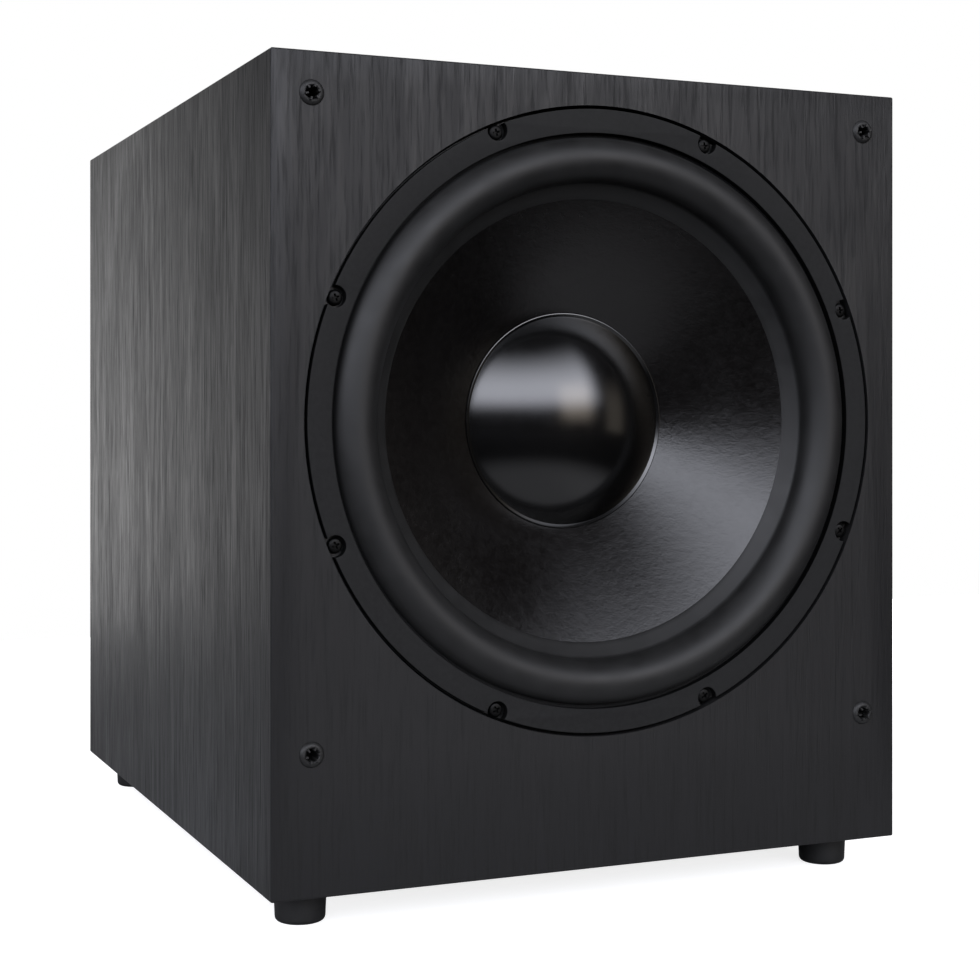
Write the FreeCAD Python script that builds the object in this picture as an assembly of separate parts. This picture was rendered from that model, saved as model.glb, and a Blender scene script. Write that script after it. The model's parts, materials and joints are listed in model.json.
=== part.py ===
# Powered subwoofer: a sealed-panel wooden cabinet with one 12 inch driver in the front
# baffle, a reflex port and a plate amplifier in the back panel, on four rubber feet.
#
# Millimetres. +Z is up, the front baffle faces -Y, +X is to the right seen from the front.
# The origin is on the floor plane under the centre of the overall box: the box runs from the
# crest of the surround at the front to the ends of the control knobs at the back.
import FreeCAD, Part
import os
import math

V = FreeCAD.Vector

# ---------------------------------------------------------------- driving dimensions
CAB_W = 350.0          # cabinet width
CAB_H = 400.0          # cabinet height, without feet
CAB_D = 420.0          # cabinet depth, baffle face to back face
WALL = 15.0            # side, top, bottom and back panel thickness
BAFFLE_T = 22.0        # front baffle thickness
EDGE_R = 0.8           # wrapped outer edge radius
FOOT_H = 18.0          # rubber foot height
FOOT_R_TOP = 13.1
FOOT_R_BOT = 12.4
FOOT_IN_X = 24.5       # foot centre from the cabinet side
FOOT_IN_Y = 32.0       # foot centre from the front and back faces
DRV_FROM_TOP = 175.0   # driver centre below the cabinet top
CREST = 6.0            # how far the surround's crest stands in front of the baffle
SOCK_IN = 20.0         # grille socket from the sides and the top
SOCK_DX = 310.0        # grille socket spacing across
SOCK_DZ = 312.0        # grille socket spacing up
SOCK_BORE_R = 3.2
PLATE_W, PLATE_H = 250.0, 240.0   # amplifier plate
PLATE_T = 3.0
PLATE_SEAL_T = 1.5
PLATE_CZ = FOOT_H + 148.0         # plate centre height
KNOB_OUT = 19.0        # knob end above the plate's outer face
PORT_CZ = FOOT_H + 333.0
PORT_R = 35.0          # reflex port bore radius
PORT_L = 160.0

REAR = PLATE_SEAL_T + PLATE_T + KNOB_OUT
YF = -(CREST + CAB_D + REAR) / 2.0 + CREST     # baffle face
YB = YF + CAB_D                                # cabinet back face
YP = YB + PLATE_SEAL_T + PLATE_T               # amplifier plate's outer face
YI = YB + PLATE_SEAL_T                         # amplifier plate's inner face
Z0 = FOOT_H
Z1 = FOOT_H + CAB_H
ZC = Z1 - DRV_FROM_TOP                         # driver axis height
HX = CAB_W / 2.0

os.makedirs("parts", exist_ok=True)
MADE = {}


def put(name, shape):
    """Write one node: every solid of the shape, checked."""
    solids = shape.Solids
    if not solids:
        raise RuntimeError(name + ": no solid")
    out = solids[0] if len(solids) == 1 else Part.makeCompound(solids)
    for s in solids:
        if not s.isValid() or s.Volume <= 0:
            raise RuntimeError(name + ": bad solid, volume %.3f" % s.Volume)
    out.exportStep("parts/%s.step" % name)
    MADE[name] = out
    bb = out.BoundBox
    print("%-22s solids %2d vol %9.1f  x %.1f..%.1f y %.1f..%.1f z %.1f..%.1f" % (
        name, len(solids), sum(s.Volume for s in solids), bb.XMin, bb.XMax, bb.YMin, bb.YMax, bb.ZMin, bb.ZMax))
    return out


def box(x0, x1, y0, y1, z0, z1):
    return Part.makeBox(x1 - x0, y1 - y0, z1 - z0, V(x0, y0, z0))


def ycyl(r, y0, y1, x, z):
    return Part.makeCylinder(r, y1 - y0, V(x, y0, z), V(0, 1, 0))


def zcyl(r, z0, z1, x, y):
    return Part.makeCylinder(r, z1 - z0, V(x, y, z0), V(0, 0, 1))


def fuse(shapes):
    out = shapes[0]
    if len(shapes) > 1:
        out = out.multiFuse(shapes[1:])
    return out.removeSplitter()


def cut(shape, tools):
    return shape.cut(tools)


def poly_solid(points, quads):
    """A closed solid from corner points and planar faces."""
    faces = []
    for q in quads:
        w = Part.makePolygon([points[i] for i in q] + [points[q[0]]])
        faces.append(Part.Face(w))
    s = Part.Solid(Part.Shell(faces))
    if s.Volume < 0:
        s.reverse()
    return s


def frustum(outer, inner):
    """Panel between an outer rectangle and an inner one: four corners each, same order."""
    p = outer + inner
    quads = [(0, 1, 2, 3), (4, 5, 6, 7), (0, 1, 5, 4), (1, 2, 6, 5), (2, 3, 7, 6), (3, 0, 4, 7)]
    return poly_solid(p, quads)


def wire_of(segs):
    """segs: ('l', p, q) or ('a', p, mid, q), points are (radius, depth) behind the baffle face."""
    edges = []
    for s in segs:
        pts = [V(p[0], YF + p[1], ZC) for p in s[1:]]
        if s[0] == "l":
            edges.append(Part.LineSegment(pts[0], pts[1]).toShape())
        else:
            edges.append(Part.Arc(pts[0], pts[1], pts[2]).toShape())
    return Part.Wire(edges)


def spin(segs, x=0.0, z=None, deg=360.0):
    """Revolve a (radius, depth) profile about the driver axis, then move it to another axis if asked."""
    f = Part.Face(wire_of(segs))
    s = f.revolve(V(0, YF, ZC), V(0, 1, 0), deg)
    s = s.Solids[0] if s.Solids else Part.Solid(s)
    if s.Volume < 0:
        s.reverse()
    if z is not None:
        s.translate(V(x, 0, z - ZC))
    return s


def spin_poly(pts, x=0.0, z=None):
    segs = [("l", pts[i], pts[(i + 1) % len(pts)]) for i in range(len(pts))]
    return spin(segs, x, z)


def round_path(points, share=0.45):
    """Straight runs joined by tangent arcs, each as large as its two runs allow."""
    pts = [V(*p) for p in points]
    edges = []
    radii = []
    last = pts[0]
    for i in range(1, len(pts) - 1):
        a, b, c = pts[i - 1], pts[i], pts[i + 1]
        u = (b - a)
        w = (c - b)
        lu, lw = u.Length, w.Length
        u.normalize()
        w.normalize()
        turn = u.getAngle(w)
        if turn < 1e-3:
            continue
        t = share * min(lu, lw)
        r = t / math.tan(turn / 2.0)
        radii.append(round(r, 1))
        p = b - u * t
        q = b + w * t
        bis = (w - u)
        bis.normalize()
        mid = b + bis * (r / math.cos(turn / 2.0) - r)
        edges.append(Part.LineSegment(last, p).toShape())
        edges.append(Part.Arc(p, mid, q).toShape())
        last = q
    edges.append(Part.LineSegment(last, pts[-1]).toShape())
    return Part.Wire(edges), radii


def tube(points, r):
    wire, radii = round_path(points)
    d = V(*points[1]) - V(*points[0])
    circ = Part.Wire([Part.Circle(V(*points[0]), d, r).toShape()])
    s = wire.makePipeShell([circ], True, False)
    s = s.Solids[0]
    want = math.pi * r * r * wire.Length
    print("   tube r %.2f length %.1f volume ratio %.4f radii %s" % (r, wire.Length, s.Volume / want, radii))
    return s


def pan_screw(x, z, y_seat, out_dir, head_r, head_h, shank_r, length, recess_r=1.9, recess_d=1.3):
    """Pan head screw along Y. out_dir is -1 when the head faces -Y, +1 when it faces +Y."""
    d = V(0, out_dir, 0)
    head = Part.makeCylinder(head_r, head_h, V(x, y_seat, z), d)
    rim = [e for e in head.Edges if len(e.Vertexes) == 1 and abs(e.Vertexes[0].Point.y - (y_seat + out_dir * head_h)) < 1e-6]
    head = head.makeFillet(min(head_h * 0.55, head_r * 0.4), rim)
    shank = Part.makeCylinder(shank_r, length - 3.0, V(x, y_seat, z), d * -1.0)
    tip = Part.makeCone(shank_r, 0.4, 3.0, V(x, y_seat - out_dir * (length - 3.0), z), d * -1.0)
    s = fuse([head, shank, tip])
    yt = y_seat + out_dir * (head_h - recess_d)
    w = 0.55
    for k in (0, 1):
        if k:
            b = Part.makeBox(2 * w, recess_d + 1, 2 * recess_r, V(x - w, min(yt, yt + out_dir * (recess_d + 1)), z - recess_r))
        else:
            b = Part.makeBox(2 * recess_r, recess_d + 1, 2 * w, V(x - recess_r, min(yt, yt + out_dir * (recess_d + 1)), z - w))
        s = s.cut(b)
    return s


# ---------------------------------------------------------------- cabinet panels
outer = box(-HX, HX, YF, YB, Z0, Z1)
outer_round = outer.makeFillet(EDGE_R, outer.Edges)
ix, iz0, iz1 = HX - WALL, Z0 + WALL, Z1 - WALL
iy0, iy1 = YF + BAFFLE_T, YB - WALL


def corners(x0, x1, y0, y1, z0, z1, side):
    if side == "front":
        return [V(x0, y0, z0), V(x1, y0, z0), V(x1, y0, z1), V(x0, y0, z1)]
    if side == "back":
        return [V(x0, y1, z0), V(x1, y1, z0), V(x1, y1, z1), V(x0, y1, z1)]
    if side == "left":
        return [V(x0, y0, z0), V(x0, y1, z0), V(x0, y1, z1), V(x0, y0, z1)]
    if side == "right":
        return [V(x1, y0, z0), V(x1, y1, z0), V(x1, y1, z1), V(x1, y0, z1)]
    if side == "top":
        return [V(x0, y0, z1), V(x1, y0, z1), V(x1, y1, z1), V(x0, y1, z1)]
    return [V(x0, y0, z0), V(x1, y0, z0), V(x1, y1, z0), V(x0, y1, z0)]


def panel(side):
    o = corners(-HX, HX, YF, YB, Z0, Z1, side)
    i = corners(-ix, ix, iy0, iy1, iz0, iz1, side)
    return frustum(o, i).common(outer_round)


put("left_side_panel", panel("left"))
put("right_side_panel", panel("right"))
put("top_panel", panel("top"))

feet_xy = [(sx * (HX - FOOT_IN_X), y) for sx in (-1, 1) for y in (YF + FOOT_IN_Y, YB - FOOT_IN_Y)]
FOOT_SCREW_R = 1.9
bottom = panel("bottom")
bottom = cut(bottom, [zcyl(FOOT_SCREW_R + 0.05, Z0 - 1, Z0 + 11.0, x, y) for x, y in feet_xy])
put("bottom_panel", bottom)

# front baffle: rebate and through hole for the driver, pilot holes, holes for the grille sockets
REBATE_R, REBATE_D = 158.8, 8.0
CUTOUT_R = 143.4
SCREW_PCR = 154.0
SCREW_ANG = [22.5 + 45 * k for k in range(8)]
sock_xz = [(sx * SOCK_DX / 2, z) for sx in (-1, 1) for z in (Z1 - SOCK_IN, Z1 - SOCK_IN - SOCK_DZ)]
SOCK_BODY_R = 4.6
SOCK_BODY_L = 14.0
baffle = panel("front")
tools = [ycyl(REBATE_R, YF - 1, YF + REBATE_D, 0, ZC), ycyl(CUTOUT_R, YF - 1, YF + BAFFLE_T + 1, 0, ZC)]
tools += [ycyl(SOCK_BODY_R + 0.05, YF - 1, YF + SOCK_BODY_L + 0.5, x, z) for x, z in sock_xz]


def polar(r, deg):
    return r * math.cos(math.radians(deg)), ZC + r * math.sin(math.radians(deg))


tools += [ycyl(1.95, YF + REBATE_D - 1, YF + 21.0, *polar(SCREW_PCR, a)) for a in SCREW_ANG]
put("front_baffle", cut(baffle, tools))

# back panel: amplifier opening, port hole, pilot holes
AMP_OPEN_W, AMP_OPEN_H = PLATE_W - 28.0, PLATE_H - 28.0
amp_open = box(-AMP_OPEN_W / 2, AMP_OPEN_W / 2, YB - WALL - 1, YB + 1, PLATE_CZ - AMP_OPEN_H / 2, PLATE_CZ + AMP_OPEN_H / 2)
amp_open = amp_open.makeFillet(8.0, [e for e in amp_open.Edges if abs(e.Vertexes[0].Point.y - e.Vertexes[-1].Point.y) > 1])
plate_screws = [(sx * 118.0, PLATE_CZ + sz * 113.0) for sx in (-1, 1) for sz in (-1, 1)]
plate_screws += [(0.0, PLATE_CZ + 113.0), (0.0, PLATE_CZ - 113.0)]
plate_screws += [(sx * 118.0, PLATE_CZ + sz * 38.0) for sx in (-1, 1) for sz in (-1, 1)]
back = panel("back")
tools = [amp_open, ycyl(PORT_R + 3.0, YB - WALL - 1, YB + 1, 0, PORT_CZ)]
tools += [ycyl(1.95, YB - 12.0, YB + 1, x, z) for x, z in plate_screws]
put("back_panel", cut(back, tools))

# window brace across the middle of the cabinet
BR_Y0 = YF + 190.0
br = box(-ix, ix, BR_Y0, BR_Y0 + 15.0, iz0, iz1)
holes = []
for zz0, zz1 in ((iz0 + 35, (iz0 + iz1) / 2 - 20), ((iz0 + iz1) / 2 + 20, iz1 - 35)):
    for xx0, xx1 in ((-ix + 35, -18), (18, ix - 35)):
        w = box(xx0, xx1, BR_Y0 - 1, BR_Y0 + 16, zz0, zz1)
        holes.append(w.makeFillet(22.0, [e for e in w.Edges if abs(e.Vertexes[0].Point.y - e.Vertexes[-1].Point.y) > 1]))
put("window_brace", cut(br, holes))

# polyester mats against the inside of the side panels, behind the brace
mats = []
for sx in (-1, 1):
    a, b = sorted((sx * ix, sx * (ix - 20.0)))
    m = box(a, b, BR_Y0 + 22.0, iy1 - 6.0, iz0 + 10.0, iz1 - 10.0)
    mats.append(m.makeFillet(6.0, [e for e in m.Edges if abs(e.Vertexes[0].Point.x - e.Vertexes[-1].Point.x) < 1e-6 and abs(e.Vertexes[0].Point.x - sx * (ix - 20.0)) < 1e-6]))
put("damping_mats", Part.makeCompound(mats))

# ---------------------------------------------------------------- feet
feet, fscrews = [], []
for x, y in feet_xy:
    # tapered rubber foot, rounded at the floor, with a counterbore for its screw
    prof = [V(0, 0, 0), V(FOOT_R_BOT - 2.0, 0, 0)]
    e = [Part.LineSegment(V(0, 0, 0), V(FOOT_R_BOT - 2.0, 0, 0)).toShape(),
         Part.Arc(V(FOOT_R_BOT - 2.0, 0, 0), V(FOOT_R_BOT - 2.0 + 2.0 * math.sin(math.radians(45)), 0, 2.0 - 2.0 * math.cos(math.radians(45))), V(FOOT_R_BOT, 0, 2.0)).toShape(),
         Part.LineSegment(V(FOOT_R_BOT, 0, 2.0), V(FOOT_R_TOP, 0, FOOT_H)).toShape(),
         Part.LineSegment(V(FOOT_R_TOP, 0, FOOT_H), V(0, 0, FOOT_H)).toShape(),
         Part.LineSegment(V(0, 0, FOOT_H), V(0, 0, 0)).toShape()]
    f = Part.Face(Part.Wire(e)).revolve(V(0, 0, 0), V(0, 0, 1), 360)
    f = f.Solids[0] if f.Solids else Part.Solid(f)
    f = f.cut([Part.makeCylinder(5.0, 8.0, V(0, 0, 0)), Part.makeCylinder(FOOT_SCREW_R + 0.3, 30.0, V(0, 0, -1))])
    f.translate(V(x, y, 0))
    feet.append(f)
    head = Part.makeCylinder(4.4, 2.6, V(x, y, 8.0 - 2.6))
    rim = [ed for ed in head.Edges if len(ed.Vertexes) == 1 and abs(ed.Vertexes[0].Point.z - 5.4) < 1e-6]
    head = head.makeFillet(1.3, rim)
    s = fuse([head, Part.makeCylinder(FOOT_SCREW_R, 16.0, V(x, y, 8.0)), Part.makeCone(FOOT_SCREW_R, 0.4, 3.0, V(x, y, 24.0))])
    s = s.cut([Part.makeBox(4.0, 1.0, 2.3, V(x - 2.0, y - 0.5, 4.4)), Part.makeBox(1.0, 4.0, 2.3, V(x - 0.5, y - 2.0, 4.4))])
    fscrews.append(s)
put("rubber_feet", Part.makeCompound(feet))
put("foot_screws", Part.makeCompound(fscrews))

# ---------------------------------------------------------------- grille sockets
socks = []
FLANGE_R = 6.1
for x, z in sock_xz:
    # domed flange outside, plain barrel in the baffle, blind bore for the grille's peg
    segs = [("l", (SOCK_BORE_R, -1.0), (SOCK_BORE_R, 12.0)), ("l", (SOCK_BORE_R, 12.0), (0.0, 12.0)),
            ("l", (0.0, 12.0), (0.0, SOCK_BODY_L)), ("l", (0.0, SOCK_BODY_L), (SOCK_BODY_R, SOCK_BODY_L)),
            ("l", (SOCK_BODY_R, SOCK_BODY_L), (SOCK_BODY_R, 0.0)), ("l", (SOCK_BODY_R, 0.0), (FLANGE_R, 0.0)),
            ("a", (FLANGE_R, 0.0), (5.3, -1.35), (SOCK_BORE_R + 0.75, -1.75)),
            ("l", (SOCK_BORE_R + 0.75, -1.75), (SOCK_BORE_R, -1.0))]
    s = spin(segs, x, z)
    socks.append(s)
put("grille_sockets", Part.makeCompound(socks))

# ---------------------------------------------------------------- driver, as (radius, depth) profiles
K = 0.598                                    # cone wall slope


def dcone(r):
    return 14.8 + (113.0 - r) * K


CONE_R = 122.2
CONE_T = 1.4
NECK_R = 26.9
# rebate seal under the frame
put("driver_seal", spin_poly([(144.0, 6.8), (150.5, 6.8), (150.5, 8.0), (144.0, 8.0)]))

# pressed steel basket
bk = spin_poly([(157.4, 4.8), (141.5, 4.8), (138.5, 10.0), (135.0, 30.0), (86.0, 70.0), (86.0, 74.7), (76.0, 74.7), (76.0, 94.0),
                (30.0, 94.0), (30.0, 96.0), (78.0, 96.0), (78.0, 76.7), (88.0, 76.7), (88.0, 70.95), (136.9, 31.05), (140.6, 10.5),
                (142.9, 6.8), (157.4, 6.8)])
wins = []
for k in range(8):
    c = 22.5 + 45 * k
    pts = []
    for rr, sgn in ((95.0, -1), (130.0, -1), (130.0, 1), (95.0, 1)):
        a = math.radians(c + sgn * (22.5 - math.degrees(math.asin(8.0 / rr))))
        pts.append(V(rr * math.cos(a), YF + 20.0, ZC + rr * math.sin(a)))
    w = Part.Face(Part.makePolygon(pts + [pts[0]])).extrude(V(0, 50.0, 0))
    wins.append(w)
# vent slots in the spider pot
for k in range(8):
    c = 22.5 + 45 * k
    b = Part.makeBox(6.0, 10.0, 30.0, V(74.0, YF + 80.0, -15.0))
    b.rotate(V(0, 0, 0), V(0, 1, 0), -c)
    b.translate(V(0, 0, ZC))
    wins.append(b)
bk = cut(bk, wins + [ycyl(2.4, YF + 3.0, YF + 8.0, *polar(SCREW_PCR, a)) for a in SCREW_ANG])
put("driver_basket", bk)

# front gasket ring with a notch for each screw and one butt joint
g = spin_poly([(143.9, 0.0), (157.4, 0.0), (157.4, 4.8), (149.3, 4.8), (149.3, 4.0), (143.9, 4.0)])
slit = box(140.0, 160.0, YF - 1, YF + 6, -0.2, 0.2)
slit.rotate(V(0, 0, 0), V(0, 1, 0), -135)
slit.translate(V(0, 0, ZC))
g = cut(g, [ycyl(5.3, YF - 1, YF + 6, *polar(154.9, a)) for a in SCREW_ANG] + [slit])
put("driver_gasket", g)

put("driver_screws", Part.makeCompound([pan_screw(*polar(SCREW_PCR, a), YF + 4.8, -1, 3.9, 2.6, 1.9, 15.5) for a in SCREW_ANG]))

# half-roll surround
RC, RA = 132.0, 11.2
dcr = RA - CREST                              # depth of the roll's centre
RI = RA - 1.0
o_r = RC + math.sqrt(RA ** 2 - (4.0 - dcr) ** 2)
i_r = RC + math.sqrt(RI ** 2 - (4.8 - dcr) ** 2)
segs = [("l", (149.0, 4.0), (o_r, 4.0)), ("a", (o_r, 4.0), (RC, dcr - RA), (RC - RA, dcr)),
        ("l", (RC - RA, dcr), (RC - RA, dcone(RC - RA) - 1.1)),
        ("l", (RC - RA, dcone(RC - RA) - 1.1), (113.0, dcone(113.0) - 1.1)),
        ("l", (113.0, dcone(113.0) - 1.1), (113.0, dcone(113.0))),
        ("l", (113.0, dcone(113.0)), (RC - RI, dcone(RC - RI))),
        ("l", (RC - RI, dcone(RC - RI)), (RC - RI, dcr)),
        ("a", (RC - RI, dcr), (RC, dcr - RI), (i_r, 4.8)),
        ("l", (i_r, 4.8), (149.0, 4.8)), ("l", (149.0, 4.8), (149.0, 4.0))]
put("surround", spin(segs))

# cone with its neck
put("cone", spin_poly([(CONE_R, dcone(CONE_R)), (NECK_R, dcone(NECK_R)), (25.85, dcone(25.85)), (25.85, 74.0), (NECK_R, 74.0),
                       (NECK_R, dcone(NECK_R) + CONE_T), (CONE_R, dcone(CONE_R) + CONE_T)]))

# domed dust cap glued to the cone by its rim
CAP_R, CAP_FL, CAP_S = 54.8, 57.3, 19.5
cap_base = dcone(CAP_R) - 0.8
RS = (CAP_R ** 2 + CAP_S ** 2) / (2 * CAP_S)
ctr = cap_base - CAP_S + RS
RSI = RS - 1.0
# where the inner sphere meets the cone face
lo_r, hi_r = 40.0, CAP_R
for _ in range(60):
    m_r = (lo_r + hi_r) / 2
    if ctr - math.sqrt(RSI ** 2 - m_r ** 2) < dcone(m_r):
        lo_r = m_r
    else:
        hi_r = m_r
ir = (lo_r + hi_r) / 2


def on(rad, r):
    return (r, ctr - math.sqrt(rad ** 2 - r ** 2))


segs = [("l", (CAP_FL, dcone(CAP_FL) - 0.8), (CAP_R, cap_base)), ("a", (CAP_R, cap_base), on(RS, 30.0), (0.0, ctr - RS)),
        ("l", (0.0, ctr - RS), (0.0, ctr - RSI)), ("a", (0.0, ctr - RSI), on(RSI, 30.0), (ir, dcone(ir))),
        ("l", (ir, dcone(ir)), (CAP_FL, dcone(CAP_FL))), ("l", (CAP_FL, dcone(CAP_FL)), (CAP_FL, dcone(CAP_FL) - 0.8))]
put("dust_cap", spin(segs))

# corrugated spider on the basket's ledge
SP_D = 74.1
fr = [(25.85, SP_D), (31.0, SP_D)]
n_wave, pitch = 6, 7.5
segs_f, segs_r = [], []
r0 = 31.0
for k in range(2 * n_wave):
    r1 = r0 + pitch / 2
    s = -1 if k % 2 == 0 else 1
    segs_f.append(("a", (r0, SP_D), ((r0 + r1) / 2, SP_D + s * 1.5), (r1, SP_D)))
    segs_r.append(("a", (r1, SP_D + 0.6), ((r0 + r1) / 2, SP_D + 0.6 + s * 1.5), (r0, SP_D + 0.6)))
    r0 = r1
segs = [("l", (25.85, SP_D), (31.0, SP_D))] + segs_f + [("l", (r0, SP_D), (84.0, SP_D)), ("l", (84.0, SP_D), (84.0, SP_D + 0.6)),
        ("l", (84.0, SP_D + 0.6), (r0, SP_D + 0.6))] + segs_r[::-1] + [("l", (31.0, SP_D + 0.6), (25.85, SP_D + 0.6)),
        ("l", (25.85, SP_D + 0.6), (25.85, SP_D))]
put("spider", spin(segs))

put("coil_former", spin_poly([(25.4, 62.0), (25.85, 62.0), (25.85, 116.0), (25.4, 116.0)]))
put("voice_coil", spin_poly([(25.85, 86.0), (27.0, 86.0), (27.0, 114.0), (25.85, 114.0)]))
put("front_pole_plate", spin_poly([(27.8, 96.0), (70.0, 96.0), (70.0, 104.0), (27.8, 104.0)]))
put("magnet_rings", Part.makeCompound([spin_poly([(33.0, a + 0.6), (33.6, a), (70.4, a), (71.0, a + 0.6), (71.0, a + 13.4), (70.4, a + 14.0), (33.6, a + 14.0), (33.0, a + 13.4)]) for a in (104.0, 118.0)]))
put("pole_yoke", spin_poly([(8.0, 96.0), (24.6, 96.0), (24.6, 132.0), (67.0, 132.0), (68.0, 133.0), (68.0, 139.0), (67.0, 140.0), (8.0, 140.0)]))

# terminal strip on the back of the spider ledge at the bottom spoke; each lug points away from the axis
LUG_ANG = 8.0


def low(r, d, deg):
    """Point at radius r and depth d, deg degrees round from straight below the axis."""
    t = math.radians(deg)
    return (r * math.sin(t), YF + d, ZC - r * math.cos(t))


put("terminal_strip", box(-18.0, 18.0, YF + 76.7, YF + 79.2, ZC - 87.0, ZC - 79.5))
lugs = []
for sx in (-1, 1):
    lug = box(-2.4, 2.4, YF + 79.2, YF + 80.0, -97.0, -80.5)
    lug.rotate(V(0, 0, 0), V(0, 1, 0), -LUG_ANG * sx)
    lug.translate(V(0, 0, ZC))
    lugs.append(lug)
put("terminal_lugs", Part.makeCompound(lugs))

# flexible leads from the lugs' ends, through a basket window, to the back of the cone
tins = []
nr, nd = K / math.hypot(K, 1.0), 1.0 / math.hypot(K, 1.0)
er = 70.0
ed = dcone(er) + CONE_T + 0.02
for sx in (-1, 1):
    route = [(97.0, 79.6), (107.5, 79.6), (113.5, 70.0), (108.5, 60.0), (98.0, 54.5), (86.0, 50.5), (er + 9.0 * nr, ed + 9.0 * nd), (er, ed)]
    tins.append(tube([low(r, d, LUG_ANG * sx) for r, d in route], 1.15))
put("tinsel_leads", Part.makeCompound(tins))

# ---------------------------------------------------------------- reflex port
L0, L1 = CAB_D - PORT_L + 3.0, CAB_D + 3.0    # depths of the inner and outer ends
PW = 2.5
segs = [("l", (50.0, L1), (PORT_R + 10.0, L1)),
        ("a", (PORT_R + 10.0, L1), (PORT_R + 10.0 - 10.0 * math.sin(math.radians(45)), L1 - 10.0 + 10.0 * math.cos(math.radians(45))), (PORT_R, L1 - 10.0)),
        ("l", (PORT_R, L1 - 10.0), (PORT_R, L0 + 10.0)),
        ("a", (PORT_R, L0 + 10.0), (PORT_R + 10.0 - 10.0 * math.cos(math.radians(45)), L0 + 10.0 - 10.0 * math.sin(math.radians(45))), (PORT_R + 10.0, L0)),
        ("l", (PORT_R + 10.0, L0), (PORT_R + 10.0, L0 + PW)),
        ("a", (PORT_R + 10.0, L0 + PW), (PORT_R + 10.0 - 7.5 * math.sin(math.radians(45)), L0 + PW + 7.5 - 7.5 * math.cos(math.radians(45))), (PORT_R + PW, L0 + PW + 7.5)),
        ("l", (PORT_R + PW, L0 + PW + 7.5), (PORT_R + PW, CAB_D)), ("l", (PORT_R + PW, CAB_D), (50.0, CAB_D)), ("l", (50.0, CAB_D), (50.0, L1))]
port = spin(segs, 0.0, PORT_CZ)
outer_rim = [e for e in port.Edges if abs(e.BoundBox.XMax - 50.0) < 0.01 and abs(e.BoundBox.YMax - (YF + L1)) < 0.01 and e.BoundBox.YLength < 0.01]
port = port.makeFillet(1.2, outer_rim)
put("reflex_port_tube", port)

# ---------------------------------------------------------------- plate amplifier
def U(u):
    """Rear view's left-to-right coordinate to +X."""
    return -u


VOL = (U(-88.0), PLATE_CZ + 88.0)
XOV = (U(-45.0), PLATE_CZ + 88.0)
PHA = (U(0.0), PLATE_CZ + 88.0)
MOD = (U(35.0), PLATE_CZ + 88.0)
LED = (U(66.0), PLATE_CZ + 88.0)
RCA = [(U(-95.0), PLATE_CZ + 46.0), (U(-75.0), PLATE_CZ + 46.0)]
POSTS = [(U(u), PLATE_CZ + 46.0) for u in (30.0, 56.0)]
IEC = (U(-72.0), PLATE_CZ - 72.0)
ROC = (U(-72.0), PLATE_CZ - 20.0)
HS = (-110.0, 10.0, PLATE_CZ - 100.0, PLATE_CZ + 14.0)        # x0, x1, z0, z1 of the heat sink
IEC_W, IEC_H = 27.5, 32.0                                     # inlet body through the plate
SLOT_L, SLOT_H = 11.4, 5.2
ROC_W, ROC_H = 14.4, 19.6

plate = box(-PLATE_W / 2, PLATE_W / 2, YI, YP, PLATE_CZ - PLATE_H / 2, PLATE_CZ + PLATE_H / 2)
plate = plate.makeFillet(9.0, [e for e in plate.Edges if abs(e.Vertexes[0].Point.y - e.Vertexes[-1].Point.y) > 1])
plate = plate.makeFillet(0.6, [e for e in plate.Edges if abs(e.BoundBox.YMax - YP) < 0.01 and e.BoundBox.YLength < 0.01])
tools = [ycyl(2.3, YI - 1, YP + 1, x, z) for x, z in plate_screws]
tools += [ycyl(3.6, YI - 1, YP + 1, *p) for p in (VOL, XOV)]
tools += [ycyl(1.6, YI - 1, YP + 1, *LED)]
tools += [ycyl(5.1, YI - 1, YP + 1, *p) for p in RCA]
tools += [ycyl(4.1, YI - 1, YP + 1, *p) for p in POSTS]
tools += [box(p[0] - SLOT_L / 2, p[0] + SLOT_L / 2, YI - 1, YP + 1, p[1] - SLOT_H / 2, p[1] + SLOT_H / 2) for p in (PHA, MOD)]
tools += [box(IEC[0] - IEC_W / 2 - 0.1, IEC[0] + IEC_W / 2 + 0.1, YI - 1, YP + 1, IEC[1] - IEC_H / 2 - 0.1, IEC[1] + IEC_H / 2 + 0.1)]
tools += [box(ROC[0] - ROC_W / 2 - 0.1, ROC[0] + ROC_W / 2 + 0.1, YI - 1, YP + 1, ROC[1] - ROC_H / 2 - 0.1, ROC[1] + ROC_H / 2 + 0.1)]
# transformer bolt hole
TR = (-50.0, PLATE_CZ - 46.0)
tools += [ycyl(3.1, YI - 1, YP + 1, *TR)]
put("amp_plate", cut(plate, tools))

seal = box(-PLATE_W / 2 + 1, PLATE_W / 2 - 1, YB, YI, PLATE_CZ - PLATE_H / 2 + 1, PLATE_CZ + PLATE_H / 2 - 1)
seal_in = box(-AMP_OPEN_W / 2 - 0.5, AMP_OPEN_W / 2 + 0.5, YB - 1, YI + 1, PLATE_CZ - AMP_OPEN_H / 2 - 0.5, PLATE_CZ + AMP_OPEN_H / 2 + 0.5)
seal = seal.makeFillet(8.0, [e for e in seal.Edges if abs(e.Vertexes[0].Point.y - e.Vertexes[-1].Point.y) > 1])
put("amp_seal", cut(seal, [seal_in] + [ycyl(2.3, YB - 1, YI + 1, x, z) for x, z in plate_screws]))
put("amp_screws", Part.makeCompound([pan_screw(x, z, YP, 1, 3.9, 2.6, 1.9, 14.5) for x, z in plate_screws]))

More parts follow.
